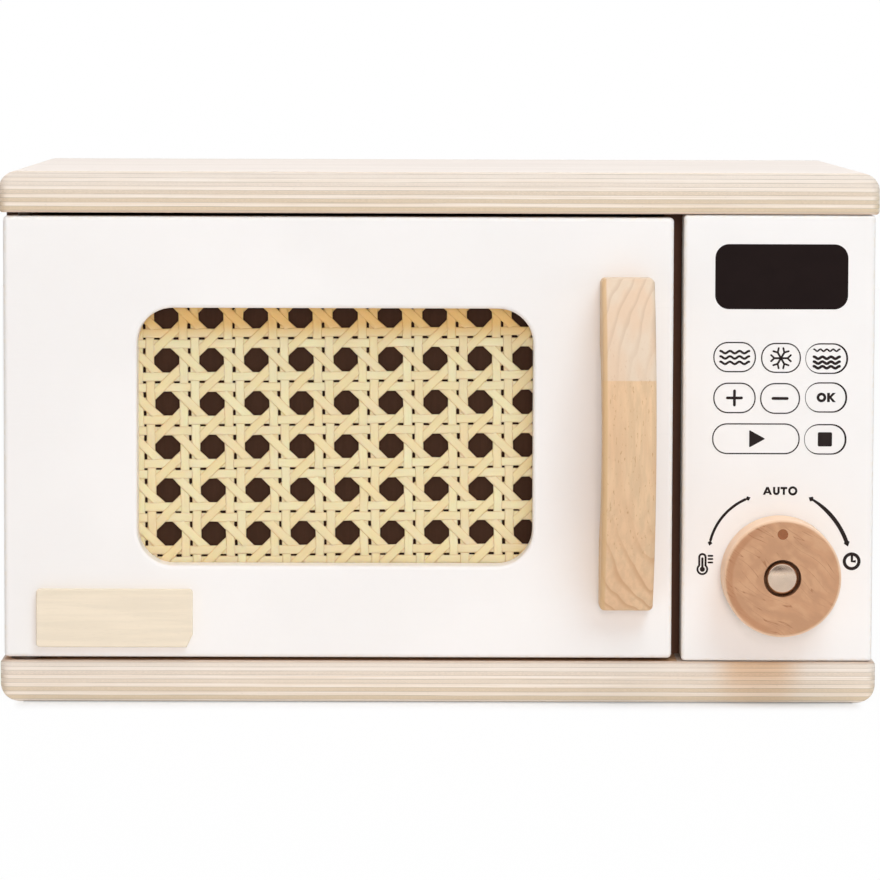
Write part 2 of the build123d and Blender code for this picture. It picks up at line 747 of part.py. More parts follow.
with BuildPart() as dial_bush:
    with BuildSketch(Plane.XZ.offset(-control_back_y)):
        with Locations((dial_x, dial_z)):
            Circle(dial_bush_diameter / 2)
            Circle(spindle_diameter / 2 + running_fit, mode=Mode.SUBTRACT)
    extrude(amount=control_thickness + dial_bush_proud)
save(dial_bush, "dial_bush")

clip_groove_radius = spindle_diameter / 2 - clip_thickness
with BuildPart() as dial_spindle:
    with BuildSketch(Plane.XZ.offset(-counterbore_floor_y)):
        with Locations((dial_x, dial_z)):
            Circle(spindle_diameter / 2)
            Circle(spindle_bore / 2, mode=Mode.SUBTRACT)
    extrude(amount=counterbore_floor_y - spindle_end_y)
    with BuildSketch(Plane.XZ.offset(-spindle_clip_y)):
        with Locations((dial_x, dial_z)):
            Circle(spindle_diameter / 2)
            Circle(clip_groove_radius, mode=Mode.SUBTRACT)
    extrude(amount=-clip_thickness, mode=Mode.SUBTRACT)
save(dial_spindle, "dial_spindle")

with BuildPart() as spindle_clip:
    with BuildSketch(Plane.XZ.offset(-spindle_clip_y)):
        with Locations((dial_x, dial_z)):
            Circle(spindle_diameter / 2 + clip_width)
            Circle(clip_groove_radius + press_fit, mode=Mode.SUBTRACT)
            with Locations((0, -spindle_diameter / 2)):
                Rectangle(clip_width * 2, spindle_diameter, mode=Mode.SUBTRACT)
    extrude(amount=-clip_thickness)
save(spindle_clip, "spindle_clip")

click_radius = click_wheel_diameter / 2
with BuildPart() as click_wheel:
    with BuildSketch(Plane.XZ.offset(-click_front_y)):
        with Locations((dial_x, dial_z)):
            Circle(click_radius)
            Circle(spindle_diameter / 2 + press_fit, mode=Mode.SUBTRACT)
            with PolarLocations(click_radius, click_teeth, start_angle=90):
                Circle(click_notch_radius, mode=Mode.SUBTRACT)
    extrude(amount=-click_wheel_thickness)
save(click_wheel, "click_wheel")

leaf_z = dial_z + click_radius + leaf_lift
leaf_root_x = casing_right - side_thickness - leaf_thickness / 2
leaf_tip_x = dial_x - leaf_nose_width * 2
with BuildPart() as click_spring:
    with BuildSketch(Plane.XZ.offset(-click_front_y)):
        with BuildLine():
            FilletPolyline(
                (leaf_root_x, leaf_z + leaf_foot),
                (leaf_root_x, leaf_z),
                (dial_x + leaf_nose_width, leaf_z),
                (dial_x, leaf_z - leaf_nose_depth),
                (dial_x - leaf_nose_width, leaf_z),
                (leaf_tip_x, leaf_z),
                radius=leaf_thickness,
            )
        trace(line_width=leaf_thickness)
    extrude(amount=-click_wheel_thickness)
save(click_spring, "click_spring")

with BuildPart() as button_cap:
    with BuildSketch(dial_section) as profile:
        with BuildLine():
            Line((0, button_inner_y), (0, button_crown_y))
            ThreePointArc(
                (0, button_crown_y),
                (button_diameter / 4, button_crown_y + button_crown / 4),
                (button_diameter / 2, button_crown_y + button_crown),
            )
            Polyline(
                (button_diameter / 2, button_crown_y + button_crown),
                (button_diameter / 2, button_crown_y + button_length),
                (button_diameter / 2 - button_wall, button_crown_y + button_length),
                (button_diameter / 2 - button_wall, button_inner_y),
                (0, button_inner_y),
            )
        make_face()
        rim = profile.vertices().group_by(Axis.X)[-1].sort_by(Axis.Y)[0]
        fillet(rim, button_edge_radius)
    revolve(axis=dial_axis)
    with BuildSketch(Plane.XZ.offset(-button_inner_y)):
        with Locations((dial_x, dial_z)):
            Circle(button_boss_diameter / 2)
            Circle(stem_diameter / 2 + press_fit, mode=Mode.SUBTRACT)
    extrude(amount=-button_wall)
save(button_cap, "button_cap")

stem_clip_y = spindle_end_y + clip_gap
stem_groove_radius = stem_diameter / 2 - clip_thickness / 2
with BuildPart() as button_stem:
    with BuildSketch(Plane.XZ.offset(-button_inner_y)):
        with Locations((dial_x, dial_z)):
            Circle(stem_diameter / 2)
    extrude(amount=button_inner_y - stem_end_y)
    fillet(button_stem.faces().sort_by(Axis.Y)[-1].edges(), stem_diameter / 2 - press_fit)
    with BuildSketch(Plane.XZ.offset(-stem_clip_y)):
        with Locations((dial_x, dial_z)):
            Circle(stem_diameter / 2)
            Circle(stem_groove_radius, mode=Mode.SUBTRACT)
    extrude(amount=-clip_thickness, mode=Mode.SUBTRACT)
save(button_stem, "button_stem")

with BuildPart() as stem_clip:
    with BuildSketch(Plane.XZ.offset(-stem_clip_y)):
        with Locations((dial_x, dial_z)):
            Circle(stem_diameter / 2 + clip_width)
            Circle(stem_groove_radius + press_fit, mode=Mode.SUBTRACT)
            with Locations((0, -stem_diameter / 2)):
                Rectangle(stem_groove_radius * clip_mouth, stem_diameter * 2, mode=Mode.SUBTRACT)
    extrude(amount=-clip_thickness)
save(stem_clip, "stem_clip")

spring_low_y = counterbore_floor_y - spring_wire / 2 - spring_seat_gap
spring_high_y = button_inner_y + spring_wire / 2 + spring_seat_gap
spring_height = spring_low_y - spring_high_y
spring_radius = (spring_diameter - spring_wire) / 2
with BuildPart() as button_spring:
    with BuildLine() as coil:
        Helix(
            pitch=spring_height / spring_turns,
            height=spring_height,
            radius=spring_radius,
            center=(dial_x, spring_low_y, dial_z),
            direction=FRONT,
        )
    with BuildSketch(coil.line ^ 0):
        Circle(spring_wire / 2)
    sweep()
save(button_spring, "button_spring")

# ---- Bell ---------------------------------------------------------------------------------------
with BuildPart() as lever_block:
    with BuildSketch(Plane.YZ.offset(divider_right)):
        with Locations((pivot_y, pivot_z)):
            Rectangle(lever_block_depth, lever_block_height)
    extrude(amount=lever_block_right - divider_right)
    fillet(lever_block.faces().sort_by(Axis.X)[-1].edges(), edge_ease)
    with Locations(Plane(origin=(lever_block_right, pivot_y, pivot_z), z_dir=(1, 0, 0))):
        fitted_hole(pivot_diameter, pivot_in_block)
save(lever_block, "lever_block")

pivot_clip_x = lever_hub_right + clip_gap
pivot_end_x = pivot_clip_x + clip_thickness * 2
with BuildPart() as lever_pivot:
    with BuildSketch(Plane.YZ.offset(lever_block_right - pivot_in_block)):
        with Locations((pivot_y, pivot_z)):
            Circle(pivot_diameter / 2)
    extrude(amount=pivot_end_x - lever_block_right + pivot_in_block)
    with BuildSketch(Plane.YZ.offset(pivot_clip_x)):
        with Locations((pivot_y, pivot_z)):
            Circle(pivot_diameter / 2)
            Circle(stem_groove_radius, mode=Mode.SUBTRACT)
    extrude(amount=clip_thickness, mode=Mode.SUBTRACT)
save(lever_pivot, "lever_pivot")

with BuildPart() as pivot_clip:
    with BuildSketch(Plane.YZ.offset(pivot_clip_x)):
        with Locations((pivot_y, pivot_z)):
            Circle(pivot_diameter / 2 + clip_width)
            Circle(stem_groove_radius + press_fit, mode=Mode.SUBTRACT)
            with Locations((pivot_diameter / 2, 0)):
                Rectangle(pivot_diameter * 2, stem_groove_radius * clip_mouth, mode=Mode.SUBTRACT)
    extrude(amount=clip_thickness)
save(pivot_clip, "pivot_clip")

lever_foot_z = dial_z - lever_tail
rod_root_z = pivot_z + lever_hub_diameter / 2
with BuildPart() as striker_lever:
    with BuildSketch(Plane.YZ.offset(lever_hub_left)):
        with Locations((pivot_y, pivot_z)):
            Circle(lever_hub_diameter / 2)
    extrude(amount=lever_hub_width)
    with BuildSketch(Plane.XY.offset(lever_foot_z)):
        with Locations((dial_x, pivot_y)):
            Rectangle(lever_width, lever_thickness)
    extrude(amount=pivot_z - lever_foot_z)
    with BuildSketch(Plane.XY.offset(pivot_z)):
        with Locations((dial_x, pivot_y)):
            Circle(hammer_rod_diameter / 2)
    extrude(amount=hammer_arm)
    with BuildSketch(Plane.YZ.offset(lever_hub_left)):
        with Locations((pivot_y, pivot_z)):
            Circle(pivot_diameter / 2 + running_fit)
    extrude(amount=lever_hub_width, mode=Mode.SUBTRACT)
save(striker_lever, "striker_lever")

with BuildPart() as hammer:
    with Locations((dial_x, pivot_y, hammer_z)):
        Sphere(hammer_diameter / 2)
    with Locations(facing(DOWN, (dial_x, pivot_y, hammer_z - hammer_diameter / 2))):
        fitted_hole(hammer_rod_diameter, hammer_diameter / 2 + press_fit)
save(hammer, "hammer")

gong_section = facing(UP, (dial_x, gong_centre_y, gong_z))[0]
gong_axis = Axis((dial_x, gong_centre_y, gong_z), REAR)
gong_rim_out = gong_rim_y - gong_centre_y
gong_inner = gong_sphere - gong_wall
gong_bore = gong_screw_size / 2 + screw_clearance
gong_screw_head = gong_screw_size * round_head_ratio
with BuildPart() as bell_gong:
    with BuildSketch(gong_section):
        with Locations((0, 0)):
            Circle(gong_sphere)
            Circle(gong_inner, mode=Mode.SUBTRACT)
        with Locations((gong_bore, gong_rim_out)):
            Rectangle(
                gong_sphere * 2, gong_sphere * 2, align=(Align.MIN, Align.MIN), mode=Mode.INTERSECT
            )
    revolve(axis=gong_axis)
save(bell_gong, "bell_gong")

with BuildPart() as gong_post:
    with BuildSketch(Plane.XZ.offset(-control_back_y)):
        with Locations((dial_x, gong_z)):
            Circle(gong_post_diameter / 2)
            Circle(gong_bore, mode=Mode.SUBTRACT)
    extrude(amount=control_back_y - gong_post_end_y)
save(gong_post, "gong_post")

with BuildPart() as gong_screw:
    with BuildSketch(facing(UP, (dial_x, gong_crown_y, gong_z))[0]) as profile:
        with BuildLine():
            Polyline(
                (0, gong_screw_head),
                (gong_screw_size, gong_screw_head),
                (gong_screw_size, 0),
                (gong_screw_size / 2, 0),
                (gong_screw_size / 2, gong_screw_size - gong_screw_length),
                (0, -gong_screw_length),
                close=True,
            )
        make_face()
        fillet(profile.vertices().group_by(Axis.X)[-1].sort_by(Axis.Y)[-1], gong_screw_size / 2)
    revolve(axis=Axis((dial_x, 0, gong_z), REAR))
save(gong_screw, "gong_screw")

# ---- Turntable ----------------------------------------------------------------------------------
with BuildPart() as turntable_plate:
    with BuildSketch(Plane.XY.offset(turntable_z)):
        with Locations((turntable_x, turntable_y)):
            Circle(turntable_diameter / 2)
    extrude(amount=turntable_thickness)
    fillet(turntable_plate.edges().filter_by(GeomType.CIRCLE), turntable_edge_radius)
    with Locations((turntable_x, turntable_y, turntable_z + turntable_thickness)):
        Hole(turntable_diameter / 2 - turntable_rim, depth=turntable_dish)
    with Locations(facing(DOWN, (turntable_x, turntable_y, turntable_z))):
        fitted_hole(turntable_bush_diameter, turntable_barrel)
save(turntable_plate, "turntable_plate")

with BuildPart() as turntable_bush:
    with BuildSketch(Plane.XY.offset(turntable_flange_z)):
        with Locations((turntable_x, turntable_y)):
            Circle(turntable_flange_diameter / 2)
    extrude(amount=turntable_flange)
    with BuildSketch(Plane.XY.offset(turntable_z)):
        with Locations((turntable_x, turntable_y)):
            Circle(turntable_bush_diameter / 2)
    extrude(amount=turntable_barrel)
    with Locations(facing(DOWN, (turntable_x, turntable_y, turntable_flange_z))):
        Hole(turntable_pivot_diameter / 2 + running_fit, depth=turntable_flange + turntable_barrel)
save(turntable_bush, "turntable_bush")

turntable_pivot_top = turntable_z + turntable_barrel - turntable_pivot_short
with BuildPart() as turntable_pivot:
    with BuildSketch(Plane.XY.offset(casing_bottom - turntable_pivot_in_board)):
        with Locations((turntable_x, turntable_y)):
            Circle(turntable_pivot_diameter / 2)
    extrude(amount=turntable_pivot_top - casing_bottom + turntable_pivot_in_board)
    fillet(turntable_pivot.edges().sort_by(Axis.Z)[-1], turntable_edge_radius)
save(turntable_pivot, "turntable_pivot")
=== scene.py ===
"""Toy microwave oven: finishes, woven cane and printed controls, dressed over the fixed frame.

Every point is in metres, in the frame of the solids. The cane, the prints and the button's coil
are meshes made here; every other piece is a solid of the frame with a finish of its own.
"""
import json
import math

import bpy
from bpy.props import FloatProperty, FloatVectorProperty, IntProperty, PointerProperty
from mathutils import Matrix, Vector


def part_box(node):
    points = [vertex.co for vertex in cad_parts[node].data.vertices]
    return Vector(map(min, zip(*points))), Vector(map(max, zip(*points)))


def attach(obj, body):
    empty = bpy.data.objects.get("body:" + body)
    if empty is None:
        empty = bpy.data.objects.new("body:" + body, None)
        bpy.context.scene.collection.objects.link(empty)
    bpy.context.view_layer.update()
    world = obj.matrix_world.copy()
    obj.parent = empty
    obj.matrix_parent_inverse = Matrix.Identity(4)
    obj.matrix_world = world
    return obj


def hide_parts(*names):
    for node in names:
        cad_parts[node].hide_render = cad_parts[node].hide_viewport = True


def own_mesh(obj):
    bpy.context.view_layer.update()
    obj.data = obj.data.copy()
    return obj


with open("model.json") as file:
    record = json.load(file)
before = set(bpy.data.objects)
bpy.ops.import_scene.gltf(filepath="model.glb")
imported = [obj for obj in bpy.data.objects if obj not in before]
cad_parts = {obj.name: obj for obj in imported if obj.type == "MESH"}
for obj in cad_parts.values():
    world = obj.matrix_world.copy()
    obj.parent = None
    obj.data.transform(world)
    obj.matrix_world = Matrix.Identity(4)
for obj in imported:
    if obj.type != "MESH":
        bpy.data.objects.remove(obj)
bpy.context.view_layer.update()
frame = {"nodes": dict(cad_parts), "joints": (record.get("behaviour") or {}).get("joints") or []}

bl_info = {
    "name": "Toy microwave oven dressing",
    "version": (1, 0, 0),
    "blender": (4, 5, 0),
    "location": "View3D > Sidebar > Toy oven",
    "description": "Finishes, woven cane and printed controls for a wooden toy microwave oven",
    "category": "Object",
}

MM = 0.001


# ---- Places taken from the solids ---------------------------------------------------------------
def box_mm(node):
    """The lowest and highest corner of a solid, in millimetres."""
    low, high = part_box(node)
    return low / MM, high / MM


PANEL_LOW, PANEL_HIGH = box_mm("control_panel")
DOOR_LOW, DOOR_HIGH = box_mm("door_panel")
WEB_LOW, WEB_HIGH = box_mm("cane_webbing")
TOP_LOW, TOP_HIGH = box_mm("top_board")
BOTTOM_LOW, BOTTOM_HIGH = box_mm("bottom_board")
DIVIDER_LOW, DIVIDER_HIGH = box_mm("divider_panel")
BACK_LOW, BACK_HIGH = box_mm("back_panel")
PLATE_LOW, PLATE_HIGH = box_mm("turntable_plate")
HANDLE_LOW, _ = box_mm("door_handle")
DIAL_LOW, DIAL_HIGH = box_mm("dial")
FRONT_Y = PANEL_LOW.y
DIVIDER_X = (DIVIDER_LOW.x + DIVIDER_HIGH.x) / 2
DIAL_X = (DIAL_LOW.x + DIAL_HIGH.x) / 2
DIAL_Z = (DIAL_LOW.z + DIAL_HIGH.z) / 2


def tone(red, green, blue):
    """A linear colour from its 0 to 255 screen values."""
    def linear(value):
        share = value / 255
        return share / 12.92 if share <= 0.04045 else ((share + 0.055) / 1.055) ** 2.4
    return linear(red), linear(green), linear(blue)


def colour_property(name, description, default):
    """A linear colour that a user may change."""
    return FloatVectorProperty(
        name=name, description=description, default=default, subtype="COLOR", size=3, min=0, max=1
    )


def length_property(name, description, default):
    """A length that a user may change, from its default in millimetres."""
    return FloatProperty(name=name, description=description, default=default * MM, unit="LENGTH", precision=5)


class ToyOvenColours(bpy.types.PropertyGroup):
    """Colours of the finishes."""

    white: colour_property("White paint", "Satin paint on door, sides and control panel", tone(245, 241, 238))
    long_ply: colour_property("Long-grain ply", "Plies with their grain along the face", tone(249, 237, 225))
    end_ply: colour_property("End-grain ply", "Plies cut across at the face", tone(234, 216, 196))
    face_ply: colour_property("Face veneer", "Outer veneer of the boards", tone(252, 244, 237))
    dark: colour_property("Dark paint", "Brown paint inside the cavity", tone(62, 40, 28))
    fibreboard: colour_property("Fibreboard", "Bare front edge of the divider", tone(118, 86, 70))
    handle: colour_property("Handle", "Lacquered light beech", tone(228, 194, 156))
    dial: colour_property("Dial", "Steamed beech", tone(196, 149, 114))
    marker: colour_property("Dial marker", "Stained dowel on the dial", tone(154, 95, 60))
    lime: colour_property("Bare wood", "Name plate, dowels and blocks", tone(246, 231, 208))
    cane: colour_property("Cane", "Natural rattan strands", tone(255, 225, 181))
    display: colour_property("Display", "Black display window", tone(32, 23, 22))
    ink: colour_property("Ink", "Printed keys and scale", tone(46, 38, 37))
    nickel: colour_property("Nickel", "Bell button", tone(222, 198, 176))
    steel: colour_property("Steel", "Screws, pins and levers", tone(180, 180, 182))
    brass: colour_property("Brass", "Gong and hammer", tone(214, 178, 108))
    nylon: colour_property("Nylon", "Bushes, washer and click wheel", tone(232, 230, 222))


class ToyOvenSizes(bpy.types.PropertyGroup):
    """Sizes of the woven cane, the prints and the coil."""

    strand_width: length_property("Strand width", "Width of one cane strand", 3.16)
    strand_thickness: length_property("Strand thickness", "Thickness of one cane strand", 0.26)
    pair_offset: length_property("Pair offset", "Upright strand's centre from the middle of its pair", 2.05)
    level_offset: length_property("Level offset", "Level strand's centre from the middle of its pair", 1.95)
    weave_lift: length_property("Weave lift", "Rise of a strand over the one it crosses", 0.13)
    diagonal_lift: length_property("Diagonal lift", "Rise of a diagonal over a pair", 0.26)
    strand_step: length_property("Strand step", "Length of one step along a strand", 0.95)
    ink_depth: length_property("Ink depth", "Thickness of the printed ink", 0.04)
    key_line: length_property("Key line", "Width of a key's outline", 0.45)
    coil_wire: length_property("Coil wire", "Wire of the button's coil", 0.7)
    coil_across: length_property("Coil diameter", "Outer diameter of the button's coil", 8.4)
    coil_turns: IntProperty(name="Coil turns", description="Turns of the button's coil", default=4, min=1)


class ToyOvenStudio(bpy.types.PropertyGroup):
    """Camera and lights."""

    lens: FloatProperty(name="Lens", description="Focal length", default=202.84, unit="CAMERA")
    lamp_strength: FloatProperty(name="Lamp strength", description="Factor on all lamps", default=1.0, min=0)
    ambient: FloatProperty(name="Ambient", description="Strength of the surroundings", default=0.3, min=0)
    fill_colour: colour_property("Fill colour", "Colour of the surroundings", (1.0, 0.95, 0.9))


CAMERA_PLACE = (-11.88, -1870.63, 235.01)      # millimetres
CAMERA_TURN = (-0.3973, 85.463, 0.1829)        # degrees: about the upright, then tilt, then roll
LAMPS = {  # turn to the right and rise in degrees; distance, width and height in metres; watts; colour
    "key": (24, 43, 2.2, 1.0, 1.0, 16.5, (0.65, 0.87, 1.0)),
    "front": (2, 9, 2.6, 0.4, 0.9, 17.6, (1.0, 0.88, 0.83)),
    "overhead": (0, 82, 1.6, 1.2, 1.2, 13.4, (1.0, 0.885, 0.83)),
}


def colours():
    """The colours set in the scene."""
    return bpy.context.scene.toy_oven_colours


def sizes():
    """The sizes set in the scene."""
    return bpy.context.scene.toy_oven_sizes


def studio():
    """The camera and light settings of the scene."""
    return bpy.context.scene.toy_oven_studio


# ---- Finishes -----------------------------------------------------------------------------------
class Signal:
    """A socket in a finish: arithmetic on it adds Math nodes."""

    def __init__(self, finish, socket):
        self.finish = finish
        self.socket = socket

    def math(self, operation, *values):
        """The result of one Math node."""
        return self.finish.node("Math", {"operation": operation}, dict(enumerate(values)))

    def __add__(self, other):
        return self.math("ADD", self, other)

    def __sub__(self, other):
        return self.math("SUBTRACT", self, other)

    def __rsub__(self, other):
        return self.math("SUBTRACT", other, self)

    def __mul__(self, other):
        return self.math("MULTIPLY", self, other)

    def __truediv__(self, other):
        return self.math("DIVIDE", self, other)

    def __mod__(self, other):
        return self.math("FLOORED_MODULO", self, other)

    def __pow__(self, other):
        return self.math("POWER", self, other)

    def __abs__(self):
        return self.math("ABSOLUTE", self)

    def floor(self):
        return self.math("FLOOR", self)

    def at_least(self, other):
        return self.math("MAXIMUM", self, other)

    def __gt__(self, other):
        return self.math("GREATER_THAN", self, other)

    def __lt__(self, other):
        return self.math("LESS_THAN", self, other)

    __radd__ = __add__
    __rmul__ = __mul__


class Finish:
    """A material or world built from its nodes; places on a piece are in millimetres."""

    def __init__(self, owner):
        self.owner = owner
        owner.use_nodes = True
        self.tree = owner.node_tree
        self.tree.nodes.clear()

    def node(self, kind, settings=None, inputs=None, output=0):
        """Adds one node: its settings first, then the values or links of its sockets."""
        made = self.tree.nodes.new("ShaderNode" + kind)
        for key, value in (settings or {}).items():
            if key == "stops":
                ramp = made.color_ramp.elements
                while len(ramp) < len(value):
                    ramp.new(1)
                for element, (place, colour) in zip(ramp, value):
                    element.position = place
                    element.color = (*colour, 1)
            else:
                setattr(made, key, value)
        sockets = [socket for socket in made.inputs if socket.enabled]
        for key, value in (inputs or {}).items():
            socket = sockets[key] if isinstance(key, int) else next(s for s in sockets if s.name == key)
            if isinstance(value, Signal):
                self.tree.links.new(value.socket, socket)
            elif socket.type == "RGBA" and len(value) == 3:
                socket.default_value = (*value, 1)
            else:
                socket.default_value = value
        shown = [socket for socket in made.outputs if socket.enabled]
        if not shown:
            return None
        found = shown[output] if isinstance(output, int) else next(s for s in shown if s.name == output)
        return Signal(self, found)

    def place(self):
        """X, Y and Z of the point on the piece, in millimetres."""
        point = self.node("TexCoord", output="Object")
        scaled = self.node("VectorMath", {"operation": "SCALE"}, {"Vector": point, "Scale": 1 / MM})
        return self.split(scaled)

    def normal(self):
        """X, Y and Z of the piece's own surface normal."""
        return self.split(self.node("TexCoord", output="Normal"))

    def split(self, vector):
        """The three numbers of a vector."""
        made = self.node("SeparateXYZ", inputs={0: vector}).socket.node
        return [Signal(self, socket) for socket in made.outputs]

    def join(self, x, y, z):
        """A vector from three numbers."""
        return self.node("CombineXYZ", inputs={0: x, 1: y, 2: z})

    def noise(self, vector, scale=1.0, detail=2.0, roughness=0.5, distortion=0.0):
        """Clouds between 0 and 1; a vector stretched along one axis makes streaks."""
        return self.node("TexNoise", inputs={
            "Vector": vector, "Scale": scale, "Detail": detail, "Roughness": roughness,
            "Distortion": distortion,
        }, output="Fac")

    def shape(self, value, low, high, to_low=0.0, to_high=1.0):
        """Fits a value from one range to another, smoothly and held at the ends."""
        return self.node("MapRange", {"interpolation_type": "SMOOTHSTEP"}, {
            "Value": value, "From Min": low, "From Max": high, "To Min": to_low, "To Max": to_high,
        })

    def mix(self, share, first, second, blend="MIX"):
        """A colour that goes from the first to the second, or is blended by it, by a share."""
        return self.node("Mix", {"data_type": "RGBA", "blend_type": blend, "clamp_factor": True},
                         {"Factor": share, "A": first, "B": second})

    def between(self, share, first, second):
        """A number that goes from the first to the second value by a share."""
        return (second - first) * share + first

    def bump(self, height, distance):
        """Raises the surface by a height between 0 and 1 times a distance in millimetres."""
        return self.node("Bump", inputs={"Height": height, "Distance": distance * MM, "Strength": 1.0})

    def surface(self, **inputs):
        """The final shader; an input's underscores stand for the spaces in the socket's name."""
        named = {key.replace("_", " "): value for key, value in inputs.items()}
        shader = self.node("BsdfPrincipled", inputs=named)
        self.node("OutputMaterial", inputs={"Surface": shader})
        return self.owner


def new_finish(name):
    """An empty finish in a new material."""
    return Finish(bpy.data.materials.new(name))


def within(finish, value, low, high, soft):
    """1 where a value lies between two limits, falling to 0 over a soft width outside them."""
    return finish.shape(value, low - soft, low) * finish.shape(value, high, high + soft, 1.0, 0.0)


def shade(colour, factor):
    """A colour made darker or lighter by one factor."""
    return tuple(min(1.0, channel * factor) for channel in colour)


def distance_from_axis(right, up):
    """The distance from an axis along Y, from the two offsets to it."""
    return (right * right + up * up) ** 0.5


def speckled_dark(finish, x, y, z):
    """The dark brown of the cavity, finely speckled."""
    speckle = finish.noise(finish.join(x, y, z), scale=0.9, detail=3.0)
    return finish.mix(speckle, shade(colours().dark, 0.85), shade(colours().dark, 1.1))


BOARD_PLIES, TURNTABLE_PLIES = 11, 5
SANDED_AWAY = 0.46                    # the share of each outer ply that sanding took
TAN_PLY = tone(208, 182, 138)         # plies near the lower face
PALE_PLY = tone(241, 232, 223)        # plies near the upper face
DIAL_SHADOW_TINT = (0.94, 0.77, 0.6)         # painted shadow of the dial: what it leaves of a ply's colour
DIAL_SHADOW_X = (109, 121)              # from where to where along x the bottom board has the dial's painted shadow
JOINT_AND_SHADE_BROWN = tone(180, 138, 104)     # the line where the casing meets a board: the joint's brown, with painted contact shade
DOOR_STRIP_BROWN = tone(208, 160, 116)         # the boards' browner strip over and under the door, which shows brown in the shaded gaps there


